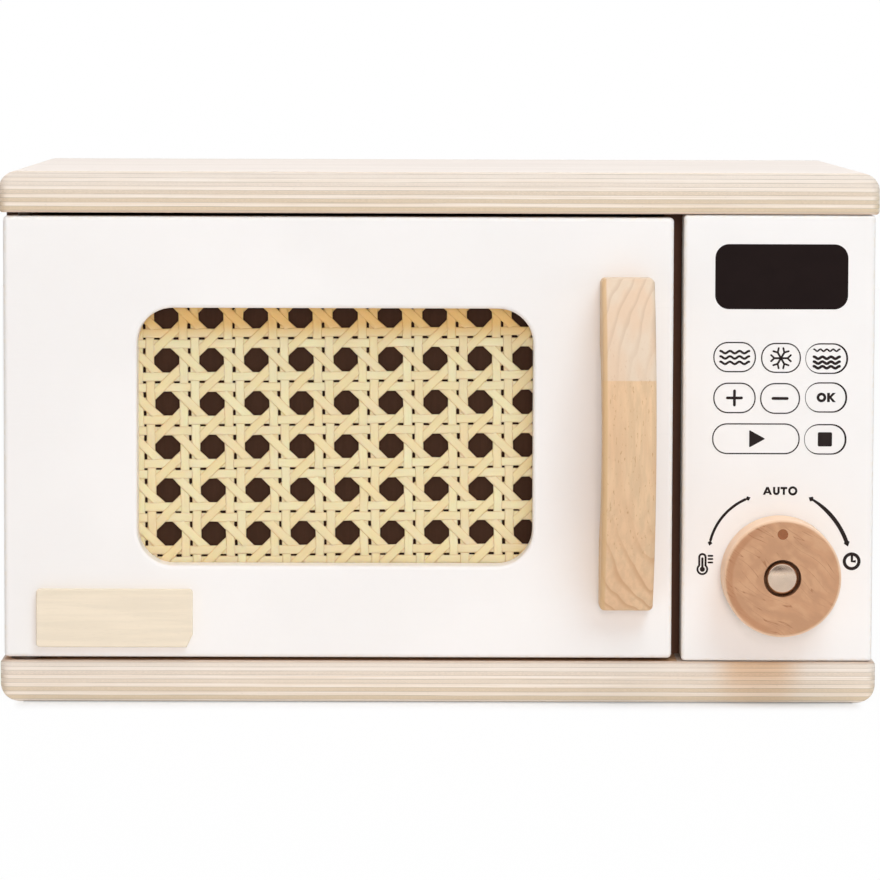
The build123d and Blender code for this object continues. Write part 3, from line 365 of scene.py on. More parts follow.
def plywood(name, low_z, high_z, plies, veneer, inside=False, dial_shadow=None):
    """Birch plywood, layered by height: the plies' grain crosses in turn, and the outer plies are thin.

    The boards of the casing have their inside painted. The last argument gives the part of the length where
    the dial's shadow is painted, darker and warmer.
    """
    finish = new_finish(name)
    x, y, z = finish.place()
    nx, ny, nz = finish.normal()
    ends = tuple(colours().end_ply)

    # which ply a point is in, how far up in it, and its grain
    ply = (high_z - low_z) / (plies - 2 * SANDED_AWAY)
    wander = finish.noise(finish.join(x * 0.012, y * 0.012, z * 0.05), detail=1.0) - 0.5
    level = (z - low_z) / ply + SANDED_AWAY + wander * 0.24
    index = level.floor()
    share = level - index
    crossed = index % 2
    along = x + (y - x) * crossed
    across = y + (x - y) * crossed
    side_on = abs(nx) + (abs(ny) - abs(nx)) * crossed
    end = finish.shape(side_on, 0.25, 0.85)
    own = finish.node("TexWhiteNoise", {"noise_dimensions": "1D"}, {"W": index * 3.7 + low_z}, output="Value")
    drawn_out = finish.join(along * 0.016, across * 0.4, z * 2.2 + index * 7.3)
    streaks = finish.noise(drawn_out, detail=5.0, roughness=0.6)
    fibre = finish.noise(finish.join(along * 0.12, across * 3.4, z * 5.5 + index * 5.1), detail=3.0)
    pores = finish.noise(finish.join(x * 0.9, y * 0.9, z * 3.4), detail=4.0, roughness=0.7)

    # the plies as they show at the edges
    long_side = finish.mix(finish.shape(streaks, 0.36, 0.62), shade(ends, 1.02), colours().long_ply)
    long_side = finish.mix(finish.shape(fibre, 0.52, 0.75, 0.0, 0.4), long_side, shade(ends, 0.9))
    cut_side = finish.mix(finish.shape(pores, 0.38, 0.66), shade(ends, 0.84), ends)
    layers = finish.mix(end, long_side, cut_side)
    layers = finish.mix(own * 0.45, layers, shade(colours().long_ply, 0.95))
    speck = finish.noise(finish.join(along * 0.7, across * 0.7, z * 2.6), detail=2.0)
    layers = finish.mix(finish.shape(speck, 0.66, 0.74) * 0.35, layers, shade(ends, 0.6))
    vein = finish.noise(finish.join(along * 0.006, across * 0.006, z * 3.1 + index * 2.3), detail=2.0)
    layers = finish.mix(finish.shape(vein, 0.52, 0.7, 0.0, 0.4), layers, shade(ends, 0.78))
    tan = finish.shape(z, low_z + 1, high_z - 4, 0.48, 0.0) * (end * 0.8 + 0.2)
    layers = finish.mix(tan, layers, TAN_PLY)
    layers = finish.mix(finish.shape(z, low_z + 7, high_z - 1, 0.0, 0.45), layers, PALE_PLY)
    middle, half = (low_z + high_z) / 2, (high_z - low_z) / 2
    # painted shade along the board's upper and lower edges
    painted_edge_shade = finish.shape(abs(z - middle), half - 0.9, half - 0.2)
    layers = finish.mix(painted_edge_shade * 0.5, layers, shade(ends, 0.86))
    glue = finish.noise(finish.join(x * 0.02, y * 0.02, index * 3.0), detail=3.0, roughness=0.65)
    edge = finish.shape(abs(share - 0.5), 0.4, 0.48) * finish.shape(glue, 0.35, 0.62, 0.15, 1.0)
    layers = finish.mix(edge * 0.9, layers, shade(ends, 0.56))
    # painted shadow of the dial: darker, warmer colour along one part of the length, strongest towards the
    # top
    if dial_shadow:
        painted_dial_shadow = within(finish, x, *dial_shadow, 13.0) * finish.shape(z, low_z, high_z, 0.3, 1.0)
        layers = finish.mix(painted_dial_shadow, layers, DIAL_SHADOW_TINT, "MULTIPLY")

    # the veneer of the flat faces
    sway = finish.noise(finish.join(x * 0.01, y * 0.02, 0.0)) * 2.2
    flame = finish.noise(finish.join(x * 0.006, y * 0.045 + sway, z), detail=2.0, distortion=0.4)
    face = finish.mix(finish.shape(flame, 0.4, 0.62, 0.0, 0.55), veneer, shade(veneer, 0.92))
    face = finish.mix(finish.shape(streaks, 0.5, 0.75, 0.0, 0.35), face, shade(veneer, 0.8))
    face = finish.mix(finish.shape(fibre, 0.58, 0.8, 0.0, 0.3), face, shade(ends, 0.85))
    flat = finish.shape(abs(nz), 0.8, 0.97)
    colour = finish.mix(flat, layers, face)

    if inside:
        # brown line where the casing meets the board: partly its joint, partly painted contact shade
        joint_and_contact_shade = within(finish, z, BOTTOM_HIGH.z - 0.3, TOP_LOW.z + 0.3, 0.7)
        colour = finish.mix(joint_and_contact_shade * 0.45, colour, JOINT_AND_SHADE_BROWN)
        between = within(finish, z, BOTTOM_HIGH.z - 0.2, TOP_LOW.z + 0.2, 0.2) * flat
        at_door = within(finish, x, DOOR_LOW.x, DOOR_HIGH.x + 2.0, 0.3)
        at_door = at_door * finish.shape(y, TOP_LOW.y + 0.8, TOP_LOW.y + 1.8) * between
        colour = finish.mix(at_door * 0.9, colour, DOOR_STRIP_BROWN)
        painted = within(finish, x, BACK_LOW.x, DIVIDER_X, 0.4)
        painted = painted * finish.shape(y, DIVIDER_LOW.y + 1.2, DIVIDER_LOW.y + 2.4) * between
        painted = painted * finish.shape(y, BACK_LOW.y + 0.2, BACK_LOW.y + 0.8, 1.0, 0.0)
        colour = finish.mix(painted, colour, speckled_dark(finish, x, y, z))
    grain = fibre * 0.6 + pores * end * 0.8 - edge * 0.5
    return finish.surface(
        Base_Color=colour,
        Roughness=finish.shape(streaks + end * 0.3, 0.3, 1.0, 0.42, 0.62),
        Normal=finish.bump(grain, 0.05),
        Specular_IOR_Level=0.25,
    )


def paint(name, edges=(), dark_sides=()):
    """Satin white paint over wood whose grain just shows.

    The edges are rubbed at places along an axis; the dark sides face along an axis and are painted brown.
    """
    finish = new_finish(name)
    x, y, z = finish.place()
    cloud = finish.noise(finish.join(x, y, z), scale=0.018, detail=2.0)
    stipple = finish.noise(finish.join(x, y, z), scale=1.5, detail=3.0, roughness=0.6)
    wood = finish.noise(finish.join(x * 0.03, y * 0.9, z * 0.75), detail=4.0, roughness=0.6)
    colour = finish.mix(finish.shape(cloud, 0.35, 0.65), shade(colours().white, 0.975), colours().white)
    colour = finish.mix(finish.shape(wood, 0.62, 0.8, 0.0, 0.35), colour, shade(colours().white, 0.93))
    worn = None
    for axis, place in edges:
        near = finish.shape(abs({"x": x, "y": y, "z": z}[axis] - place), 0.15, 1.6, 1.0, 0.0)
        worn = near if worn is None else worn.at_least(near)
    if worn is not None:
        rubbed = worn * finish.shape(finish.noise(finish.join(x, y, z), scale=0.5, detail=3.0), 0.42, 0.7)
        colour = finish.mix(rubbed * 0.4, colour, shade(colours().lime, 0.98))
    roughness = finish.shape(stipple + cloud * 0.5, 0.4, 1.0, 0.36, 0.5)
    if dark_sides:
        inner = None
        for axis, sense in dark_sides:
            turned = finish.shape(finish.normal()["xyz".index(axis)] * sense, 0.3, 0.8)
            inner = turned if inner is None else inner.at_least(turned)
        colour = finish.mix(inner, colour, speckled_dark(finish, x, y, z))
        roughness = roughness + inner * 0.15
    return finish.surface(
        Base_Color=colour,
        Roughness=roughness,
        Normal=finish.bump(stipple * 0.45 + wood, 0.03),
        Specular_IOR_Level=0.35,
    )


def dark_paint(name="dark_brown_paint", bare_front=False):
    """Matt dark brown paint, thinly brushed; a front edge may be left as bare fibreboard."""
    finish = new_finish(name)
    x, y, z = finish.place()
    brush = finish.noise(finish.join(x * 0.7, y * 0.7, z * 0.08), detail=4.0, roughness=0.6)
    speckle = finish.noise(finish.join(x, y, z), scale=0.9, detail=3.0)
    brown = colours().dark
    colour = finish.mix(finish.shape(brush, 0.35, 0.7), shade(brown, 0.92), shade(brown, 1.06))
    if bare_front:
        _, ny, _ = finish.normal()
        chips = finish.mix(speckle, shade(colours().fibreboard, 0.88), colours().fibreboard)
        colour = finish.mix(finish.shape(ny * -1, 0.5, 0.9), colour, chips)
    return finish.surface(
        Base_Color=colour,
        Roughness=finish.shape(speckle, 0.3, 0.7, 0.55, 0.7),
        Normal=finish.bump(brush + speckle * 0.4, 0.03),
        Specular_IOR_Level=0.1,
    )


def bare_wood(name, colour, axis="x", contrast=0.08):
    """Pale close-grained wood whose grain runs along one axis."""
    finish = new_finish(name)
    x, y, z = finish.place()
    slow = {"x": (0.03, 0.55, 0.5), "y": (0.55, 0.03, 0.5), "z": (0.5, 0.55, 0.03)}[axis]
    fine = [1.0 if value > 0.1 else 0.12 for value in slow]
    streaks = finish.noise(finish.join(x * slow[0], y * slow[1], z * slow[2]), detail=4.0, distortion=0.3)
    fibre = finish.noise(finish.join(x * fine[0], y * fine[1], z * fine[2]), scale=3.2, detail=3.0)
    warm = finish.mix(finish.shape(streaks, 0.35, 0.68), shade(colour, 1.0 - contrast), shade(colour, 1.02))
    warm = finish.mix(finish.shape(fibre, 0.56, 0.75, 0.0, 0.25), warm, shade(colour, 0.82))
    return finish.surface(
        Base_Color=warm,
        Roughness=finish.shape(fibre, 0.3, 0.7, 0.5, 0.62),
        Normal=finish.bump(fibre, 0.03),
        Specular_IOR_Level=0.35,
    )


HANDLE_JOIN = (117.5, 118.1)          # height at which the handle's paler upper length starts
UPPER_BEECH = tone(222, 202, 180)


def handle_wood():
    """Light beech: growth lines that the bow cuts slanting at its ends, and short ray flecks."""
    finish = new_finish("beech_light")
    x, y, z = finish.place()
    nx, _, _ = finish.normal()
    upper = finish.shape(z, *HANDLE_JOIN)
    warp = finish.noise(finish.join(x * 0.07, y * 0.07, z * 0.03 + upper * 9.0), detail=2.0) - 0.5
    spacing = finish.shape(z, 60.0, 120.0, 6.6, 4.9)
    behind = y - HANDLE_LOW.y
    slant = finish.shape(z, 60.0, 125.0, 0.19, 0.12)
    ring = ((x - HANDLE_LOW.x) / spacing - behind * slant + warp * 1.5 + upper * 0.3) % 1.0
    late = finish.shape(ring, 0.55, 0.9) * finish.shape(ring, 0.91, 0.98, 1.0, 0.0)
    bow = finish.shape(behind, 2.0, 12.0)
    fleck_noise = finish.noise(finish.join(x * 1.5, y * 1.1, z * 0.36), detail=2.0, roughness=0.6)
    flecks = finish.shape(fleck_noise, 0.62, 0.7)
    streaks = finish.noise(finish.join(x * 0.5, y * 0.5, z * 0.035), detail=4.0, roughness=0.6)
    fibre = finish.noise(finish.join(x * 3.2, y * 3.2, z * 0.3), detail=3.0)
    cloud = finish.noise(finish.join(x * 0.09, y * 0.09, z * 0.03), detail=2.0)
    base = finish.mix(upper, colours().handle, UPPER_BEECH)
    dull = finish.mix(upper * 0.6 + 0.3, shade(colours().handle, 0.82), base)
    colour = finish.mix(finish.shape(streaks, 0.35, 0.68), dull, base)
    colour = finish.mix(finish.shape(cloud, 0.42, 0.62, 0.0, 0.3), colour, tone(222, 178, 140))
    ringed = finish.mix(upper, tone(200, 156, 118), tone(194, 164, 138))
    colour = finish.mix(late * finish.between(upper, 0.1 + bow * 0.62, 0.1 + bow * 0.34), colour, ringed)
    colour = finish.mix(flecks * (1 - bow * 0.8) * (1 - upper * 0.6) * 0.6, colour, tone(184, 138, 96))
    colour = finish.mix(finish.shape(fibre, 0.58, 0.78, 0.0, 0.2), colour, tone(206, 166, 124))
    # painted shade: the handle's left side and its left edge, away from the key lamp, darker tan
    side = finish.shape(nx * -1, 0.25, 0.85).at_least(finish.shape(x - HANDLE_LOW.x, 1.3, 2.1, 1.0, 0.0))
    colour = finish.mix(side * 0.75, colour, tone(210, 174, 128))
    return finish.surface(
        Base_Color=colour,
        Roughness=finish.shape(fibre, 0.3, 0.7, 0.4, 0.54),
        Normal=finish.bump(fibre * 0.6 - late * 0.6 - flecks * 0.4, 0.03),
        Specular_IOR_Level=0.22,
    )


def dial_wood():
    """Steamed beech: figure that falls to the right across the face, a darker ring near the edge of the face
    on its left, and a painted highlight round that edge and on the sides.
    """
    finish = new_finish("beech_steamed")
    x, y, z = finish.place()
    _, ny, _ = finish.normal()
    right, up = x - DIAL_X, z - DIAL_Z
    bend = finish.noise(finish.join(right * 0.04, y * 0.05, up * 0.04), detail=1.0) - 0.5
    along = right * 0.83 - up * 0.56
    across = right * 0.56 + up * 0.83 + bend * 12.0
    radius = distance_from_axis(right, up)
    bands = finish.noise(finish.join(along * 0.08, across * 0.13, y * 0.05), detail=3.0, roughness=0.6)
    blotch = finish.noise(finish.join(along * 0.16, across * 0.24, y * 0.1), detail=3.0, roughness=0.55)
    lines = finish.noise(finish.join(along * 0.03, across * 0.34, y * 0.2), detail=2.0, distortion=0.2)
    line = finish.shape(abs(lines - 0.5), 0.002, 0.014, 1.0, 0.0)
    fibre = finish.noise(finish.join(along * 0.35, across * 3.0, y * 3.0), detail=3.0)
    fleck_noise = finish.noise(finish.join(along * 0.45, across * 1.9, y * 1.2), detail=2.0)
    flecks = finish.shape(fleck_noise, 0.63, 0.72)
    beech = colours().dial
    colour = finish.mix(finish.shape(bands, 0.38, 0.62), shade(beech, 0.91), shade(beech, 1.03))
    colour = finish.mix(finish.shape(blotch, 0.45, 0.65, 0.0, 0.55), colour, tone(207, 163, 127))
    colour = finish.mix(line * finish.shape(blotch, 0.38, 0.52, 0.0, 0.8), colour, tone(160, 110, 78))
    colour = finish.mix(flecks * 0.25, colour, tone(180, 128, 94))
    colour = finish.mix(finish.shape(fibre, 0.56, 0.78, 0.0, 0.18), colour, tone(182, 132, 98))
    # a darker ring just inside the edge of the face, on the left side only
    leftward = finish.shape(right * -0.95 - up * 0.1, 1.0, 12.0, 0.0, 0.5)
    colour = finish.mix(within(finish, radius, 18.2, 19.3, 0.9) * leftward, colour, tone(172, 118, 84))
    # painted highlight: the sides and the outer edge of the face paler
    painted_rim_highlight = finish.shape(abs(ny), 0.35, 0.95, 0.95, 0.0) * finish.shape(radius, 12.0, 15.0)
    painted_rim_highlight = painted_rim_highlight.at_least(finish.shape(radius, 19.9, 20.7, 0.0, 0.65))
    colour = finish.mix(painted_rim_highlight, colour, tone(250, 218, 188))
    return finish.surface(
        Base_Color=colour,
        Roughness=finish.shape(fibre, 0.3, 0.7, 0.4, 0.54),
        Normal=finish.bump(fibre * 0.6 - line * 0.3, 0.03),
        Specular_IOR_Level=0.22,
    )


LANE = 10.0                           # millimetres of the strand map's breadth that one strand has to itself
DEEP = 500                            # added to the number of a strand that is tan
WINDOW_SHADE = (19.0, 11.0)           # from where to where below its top the cane has painted brown shade


def cane_skin():
    """Rattan skin: fine fibres along each strand, with painted brown shade at its edges and under the top of
    the window.
    """
    finish = new_finish("cane")
    _, _, z = finish.place()
    length, breadth, _ = finish.split(finish.node("UVMap", {"uv_map": "strand"}))
    strand = (breadth / LANE).floor()
    own = finish.node("TexWhiteNoise", {"noise_dimensions": "1D"}, {"W": strand}, output="Value")
    fibre = finish.noise(finish.join(length * 0.09, breadth * 3.6, strand), detail=3.0, roughness=0.6)
    patch = finish.noise(finish.join(length * 0.05, strand * 3.1, 0.0), detail=2.0)
    colour = finish.mix(own, shade(colours().cane, 0.94), shade(colours().cane, 1.06))
    colour = finish.mix(finish.shape(patch, 0.4, 0.7, 0.0, 0.6), colour, tone(251, 214, 165))
    colour = finish.mix((strand > DEEP) * 0.45, colour, tone(246, 210, 156))
    colour = finish.mix(finish.shape(fibre, 0.5, 0.75, 0.0, 0.35), colour, tone(238, 197, 145))
    # painted shade: each strand browner towards its edges
    edge = finish.shape(abs(breadth % LANE - LANE / 2), 1.2, 1.6, 0.0, 0.4)
    colour = finish.mix(edge, colour, tone(236, 168, 100))
    # painted shade of the window's top on the cane below it
    low, high = (WEB_HIGH.z - below for below in WINDOW_SHADE)
    colour = finish.mix(finish.shape(z, low, high, 0.0, 0.8), colour, tone(240, 184, 108))
    return finish.surface(
        Base_Color=colour,
        Roughness=finish.shape(fibre, 0.3, 0.7, 0.34, 0.5),
        Normal=finish.bump(fibre, 0.04),
        Specular_IOR_Level=0.4,
        Subsurface_Weight=0.4,
        Subsurface_Radius=(1.0, 0.5, 0.22),
        Subsurface_Scale=1.2 * MM,
    )


def smooth_skin(name, colour, roughness, metallic=0.0, mottle=0.06, **extra):
    """A smooth moulded, printed or plated surface with faint handling marks."""
    finish = new_finish(name)
    x, y, z = finish.place()
    cloud = finish.noise(finish.join(x, y, z), scale=0.12, detail=3.0)
    marks = finish.noise(finish.join(x * 0.5, y * 0.5, z * 3.0), detail=4.0, roughness=0.6)
    shaded = finish.mix(finish.shape(cloud, 0.35, 0.65), shade(colour, 1 - mottle), colour)
    return finish.surface(
        Base_Color=shaded,
        Metallic=metallic,
        Roughness=finish.shape(marks + cloud * 0.4, 0.4, 1.0, roughness, roughness + 0.1),
        Normal=finish.bump(marks, 0.008),
        **extra,
    )


def turned_metal(name, colour, roughness, node):
    """Metal turned about the front-to-back axis of a solid, with faint rings from the tool."""
    finish = new_finish(name)
    low, high = box_mm(node)
    x, y, z = finish.place()
    across, up = x - (low.x + high.x) / 2, z - (low.z + high.z) / 2
    radius = distance_from_axis(across, up)
    rings = finish.noise(finish.join(radius * 5.0, y * 5.0, 0.0), detail=2.0)
    cloud = finish.noise(finish.join(x, y, z), scale=0.25, detail=2.0)
    return finish.surface(
        Base_Color=finish.mix(finish.shape(cloud, 0.35, 0.65), shade(colour, 0.93), colour),
        Metallic=1.0,
        Roughness=finish.shape(rings + cloud * 0.5, 0.4, 1.1, roughness, roughness + 0.12),
        Normal=finish.bump(rings, 0.004),
    )


def dress(material, *nodes):
    """Puts one finish on solids of the frame."""
    for name in nodes:
        slots = frame["nodes"][name].data.materials
        slots.clear()
        slots.append(material)


def make_piece(name, points, faces, material, smooth=True):
    """A mesh object from points in millimetres."""
    mesh = bpy.data.meshes.new(name)
    mesh.from_pydata([tuple(value * MM for value in point) for point in points], [], faces)
    mesh.materials.append(material)
    mesh.validate()
    mesh.polygons.foreach_set("use_smooth", [smooth] * len(mesh.polygons))
    piece = bpy.data.objects.new(name, mesh)
    bpy.context.scene.collection.objects.link(piece)
    return piece


# ---- Woven cane ---------------------------------------------------------------------------------
PITCH_X, PITCH_Z = 16.1, 15.68        # hole to hole
HOLE_X, HOLE_Z = -97.21, 59.35        # lowest hole of the first column
COLUMN_LEAN = 0.012                   # the columns lean to the left going up
ROW_RISE = 0.0088                     # the rows rise to the right
FIRST_COLUMN, LAST_COLUMN = -2, 10    # the mesh runs on behind the door
FIRST_ROW, LAST_ROW = -2, 7
SECTION = ((-0.5, 0.35), (-0.43, 0.75), (-0.18, 0.98), (0.18, 0.98), (0.43, 0.75), (0.5, 0.35),
           (0.34, -0.4), (-0.34, -0.4))  # a strand's half-round section: widths and thicknesses


def weave_point(column, row):
    """X and Z of a place counted in holes, on the slightly leaning mesh."""
    x = HOLE_X + column * PITCH_X
    z = HOLE_Z + row * PITCH_Z
    return x - (z - HOLE_Z) * COLUMN_LEAN, z + (x - HOLE_X) * ROW_RISE


def height_along(stops, place):
    """The lift at a place, eased between (place, lift) stops."""
    if place <= stops[0][0]:
        return stops[0][1]
    for (start, low), (end, high) in zip(stops, stops[1:]):
        if place <= end:
            share = (place - start) / (end - start)
            share = share * share * (3 - 2 * share)
            return low + (high - low) * share
    return stops[-1][1]


class Weave:
    """Collects strands into one mesh."""

    def __init__(self):
        self.points, self.faces, self.marks = [], [], []
        self.width = sizes().strand_width / MM
        self.thick = sizes().strand_thickness / MM
        self.step = sizes().strand_step / MM
        self.middle = (WEB_LOW.y + WEB_HIGH.y) / 2
        self.count = 0

    def strand(self, start, end, stops, deep=False):
        """One strand from start to end, both (x, z), cut where it leaves the webbing; a deep one is tan."""
        start, end = Vector(start), Vector(end)
        run = (end - start).length
        along = (end - start) / run
        side = Vector((-along.y, along.x))
        own = self.count * 1.37
        self.count += 1
        mark = (self.count + (DEEP if deep else 0) + 0.5) * LANE
        first = len(self.points)
        steps = int(run / self.step)
        rings = 0
        for index in range(steps + 1):
            travelled = run * index / steps
            centre = start + along * travelled
            inset = self.width / 2 + 0.3  # keeps the width and its wobble inside the webbing
            if not (WEB_LOW.x + inset < centre.x < WEB_HIGH.x - inset
                    and WEB_LOW.z + inset < centre.y < WEB_HIGH.z - inset):
                continue
            lift = height_along(stops, travelled)
            wobble = 0.07 * math.sin(travelled * 0.21 + own * 3.1) + 0.05 * math.sin(travelled * 0.57 + own)
            width = self.width * (1 + 0.025 * math.sin(travelled * 0.13 + own * 2.3))
            for across, rise in SECTION:
                place = centre + side * (across * width + wobble)
                self.points.append((place.x, self.middle - lift - rise * self.thick / 1.4, place.y))
                self.marks.append((travelled + own * 11, mark + across * width))
            rings += 1
        size = len(SECTION)
        for ring in range(rings - 1):
            here, there = first + ring * size, first + (ring + 1) * size
            for index in range(size):
                after = (index + 1) % size
                self.faces.append((here + index, here + after, there + after, there + index))
        if rings > 1:
            self.faces.append(tuple(range(first, first + size))[::-1])
            last = first + (rings - 1) * size
            self.faces.append(tuple(range(last, last + size)))


def pair_stops(count, pitch, half, rise):
    """The stops of a strand that goes over and under one crossing pair in each pitch."""
    stops = []
    for number in range(count):
        base = number * pitch
        middle = base + pitch / 2
        stops += [(base, 0.0), (middle - half, rise), (middle + half, -rise)]
    return stops


def weave_cane():
    """Pairs both ways and a single strand on each diagonal, as standard six-way cane."""
    weave = Weave()
    offset, level, lift, high = (
        value / MM
        for value in (sizes().pair_offset, sizes().level_offset, sizes().weave_lift, sizes().diagonal_lift)
    )
    columns = range(FIRST_COLUMN, LAST_COLUMN)
    rows = range(FIRST_ROW, LAST_ROW)
    for column in columns:
        bottom, top = weave_point(column + 0.5, FIRST_ROW), weave_point(column + 0.5, LAST_ROW)
        for side in (-1, 1):
            stops = pair_stops(len(rows), PITCH_Z, level, lift * side)
            weave.strand((bottom[0] + side * offset, bottom[1]), (top[0] + side * offset, top[1]), stops)
    for row in rows:
        left, right = weave_point(FIRST_COLUMN, row + 0.5), weave_point(LAST_COLUMN, row + 0.5)
        for side in (-1, 1):
            stops = pair_stops(len(columns), PITCH_X, offset, -lift * side)
            weave.strand((left[0], left[1] + side * level), (right[0], right[1] + side * level), stops)
    reach = len(columns) + len(rows)
    for number in range(-reach, reach):
        for falls in (True, False):
            lean = -1 if falls else 1
            start = weave_point(number + 0.5 + lean * FIRST_ROW, FIRST_ROW)
            end = weave_point(number + 0.5 + lean * LAST_ROW, LAST_ROW)
            half = math.dist(start, end) / len(rows) / 2
            stops = []
            for step in range(len(rows) * 2 + 1):
                over = high if (step % 2 == 0) == falls else -high
                stops.append((step * half - half * 0.39, over))
                stops.append((step * half + half * 0.39, over))
            weave.strand(start, end, stops, deep=not falls)
    return weave


# ---- Prints -------------------------------------------------------------------------------------
def on_circle(centre_x, centre_z, radius, turn):
    """The point of a circle at an angle, from the right and counterclockwise from the front."""
    return centre_x + radius * math.cos(turn), centre_z + radius * math.sin(turn)


INK_STEP, INK_STEPS = 0.0015, 6       # millimetres between the fronts of shapes in turn, and how many turns
INK_ROOT = 0.01                       # how far a print reaches into the panel


class Print:
    """Flat printed shapes on the front of the control panel; places are X and Z in millimetres."""

    def __init__(self):
        self.points, self.faces = [], []
        self.depth = sizes().ink_depth / MM
        self.layer = 0

    def raise_next(self):
        """The front of the next shape, a little off the last one's so that their faces never coincide."""
        self.layer += 1
        return FRONT_Y - self.depth - INK_STEP * (self.layer % INK_STEPS)

    def patch(self, outline):
        """A filled shape with a closed outline, counterclockwise from the front."""
        front = self.raise_next()
        first, count = len(self.points), len(outline)
        for depth in (front, FRONT_Y + INK_ROOT):
            self.points += [(x, depth, z) for x, z in outline]
        self.faces.append(tuple(range(first, first + count)))
        self.faces.append(tuple(range(first + 2 * count - 1, first + count - 1, -1)))
        for index in range(count):
            after = (index + 1) % count
            self.faces.append((first + after, first + index, first + count + index, first + count + after))

    def ring(self, outer, inner):
        """The band between two outlines with as many points each."""
        front = self.raise_next()
        first, count = len(self.points), len(outer)
        for depth in (front, FRONT_Y + INK_ROOT):
            for loop in (outer, inner):
                self.points += [(x, depth, z) for x, z in loop]
        for index in range(count):
            after = (index + 1) % count
            a, b, c, d = (first + count * part for part in range(4))
            self.faces.append((a + index, a + after, b + after, b + index))
            self.faces.append((c + after, c + index, d + index, d + after))
            self.faces.append((a + after, a + index, c + index, c + after))
            self.faces.append((b + index, b + after, d + after, d + index))

    def stroke(self, path, width, round_ends=True):
        """A line along a path; its width is one number, or one for each point."""
        widths = width if isinstance(width, (list, tuple)) else [width] * len(path)
        left, right = [], []
        for index, (x, z) in enumerate(path):
            before = path[max(index - 1, 0)]
            after = path[min(index + 1, len(path) - 1)]
            direction = Vector((after[0] - before[0], after[1] - before[1])).normalized()
            half = widths[index] / 2
            left.append((x - direction.y * half, z + direction.x * half))
            right.append((x + direction.y * half, z - direction.x * half))
        outline = list(right)
        if round_ends:
            outline += self.cap(path[-1], path[-2], widths[-1] / 2)
        outline += left[::-1]
        if round_ends:
            outline += self.cap(path[0], path[1], widths[0] / 2)
        self.patch(outline)

    @staticmethod
    def cap(end, before, radius, parts=6):
        """The points between the sides of a round end."""
        angle = math.atan2(end[1] - before[1], end[0] - before[0])
        turns = [angle - math.pi / 2 + math.pi * part / parts for part in range(1, parts)]
        return [on_circle(*end, radius, turn) for turn in turns]

    def piece(self, name, material):
        """All shapes as one mesh."""
        return make_piece(name, self.points, self.faces, material, smooth=False)


def rounded(centre_x, centre_z, width, height, radius, parts=10):
    """The outline of a rounded rectangle."""
    outline = []
    for quarter, (right, up) in enumerate(((1, -1), (1, 1), (-1, 1), (-1, -1))):
        corner_x = centre_x + right * (width / 2 - radius)
        corner_z = centre_z + up * (height / 2 - radius)
        for part in range(parts + 1):
            angle = math.pi / 2 * (quarter - 1 + part / parts)
            outline.append(on_circle(corner_x, corner_z, radius, angle))
    return outline


def circle(centre_x, centre_z, radius, parts=48):
    """The outline of a circle."""
    return [on_circle(centre_x, centre_z, radius, math.tau * part / parts) for part in range(parts)]


def wave(centre_x, centre_z, half, period, swing):
    """A wavy path that starts and ends on a crest."""
    steps = 48
    path = []
    for step in range(steps + 1):
        along = 2 * half * step / steps
        path.append((centre_x - half + along, centre_z + swing * math.cos(math.tau * along / period)))
    return path


KEYS = {  # left, right, bottom and top of each key's outline
    "defrost": (98.1, 113.4, 119.1, 130.0),
    "freeze": (115.2, 129.5, 118.9, 129.7),
    "heat": (131.1, 146.4, 118.6, 129.6),
    "plus": (98.2, 113.4, 104.4, 115.4),
    "minus": (115.0, 129.3, 104.2, 115.3),
    "accept": (131.1, 146.2, 104.7, 115.6),
    "start": (97.9, 129.3, 89.7, 100.8),
    "stop": (130.9, 146.1, 89.6, 100.6),
}


def key_centre(name):
    """The middle of a key's outline."""
    left, right, bottom, top = KEYS[name]
    return (left + right) / 2, (bottom + top) / 2


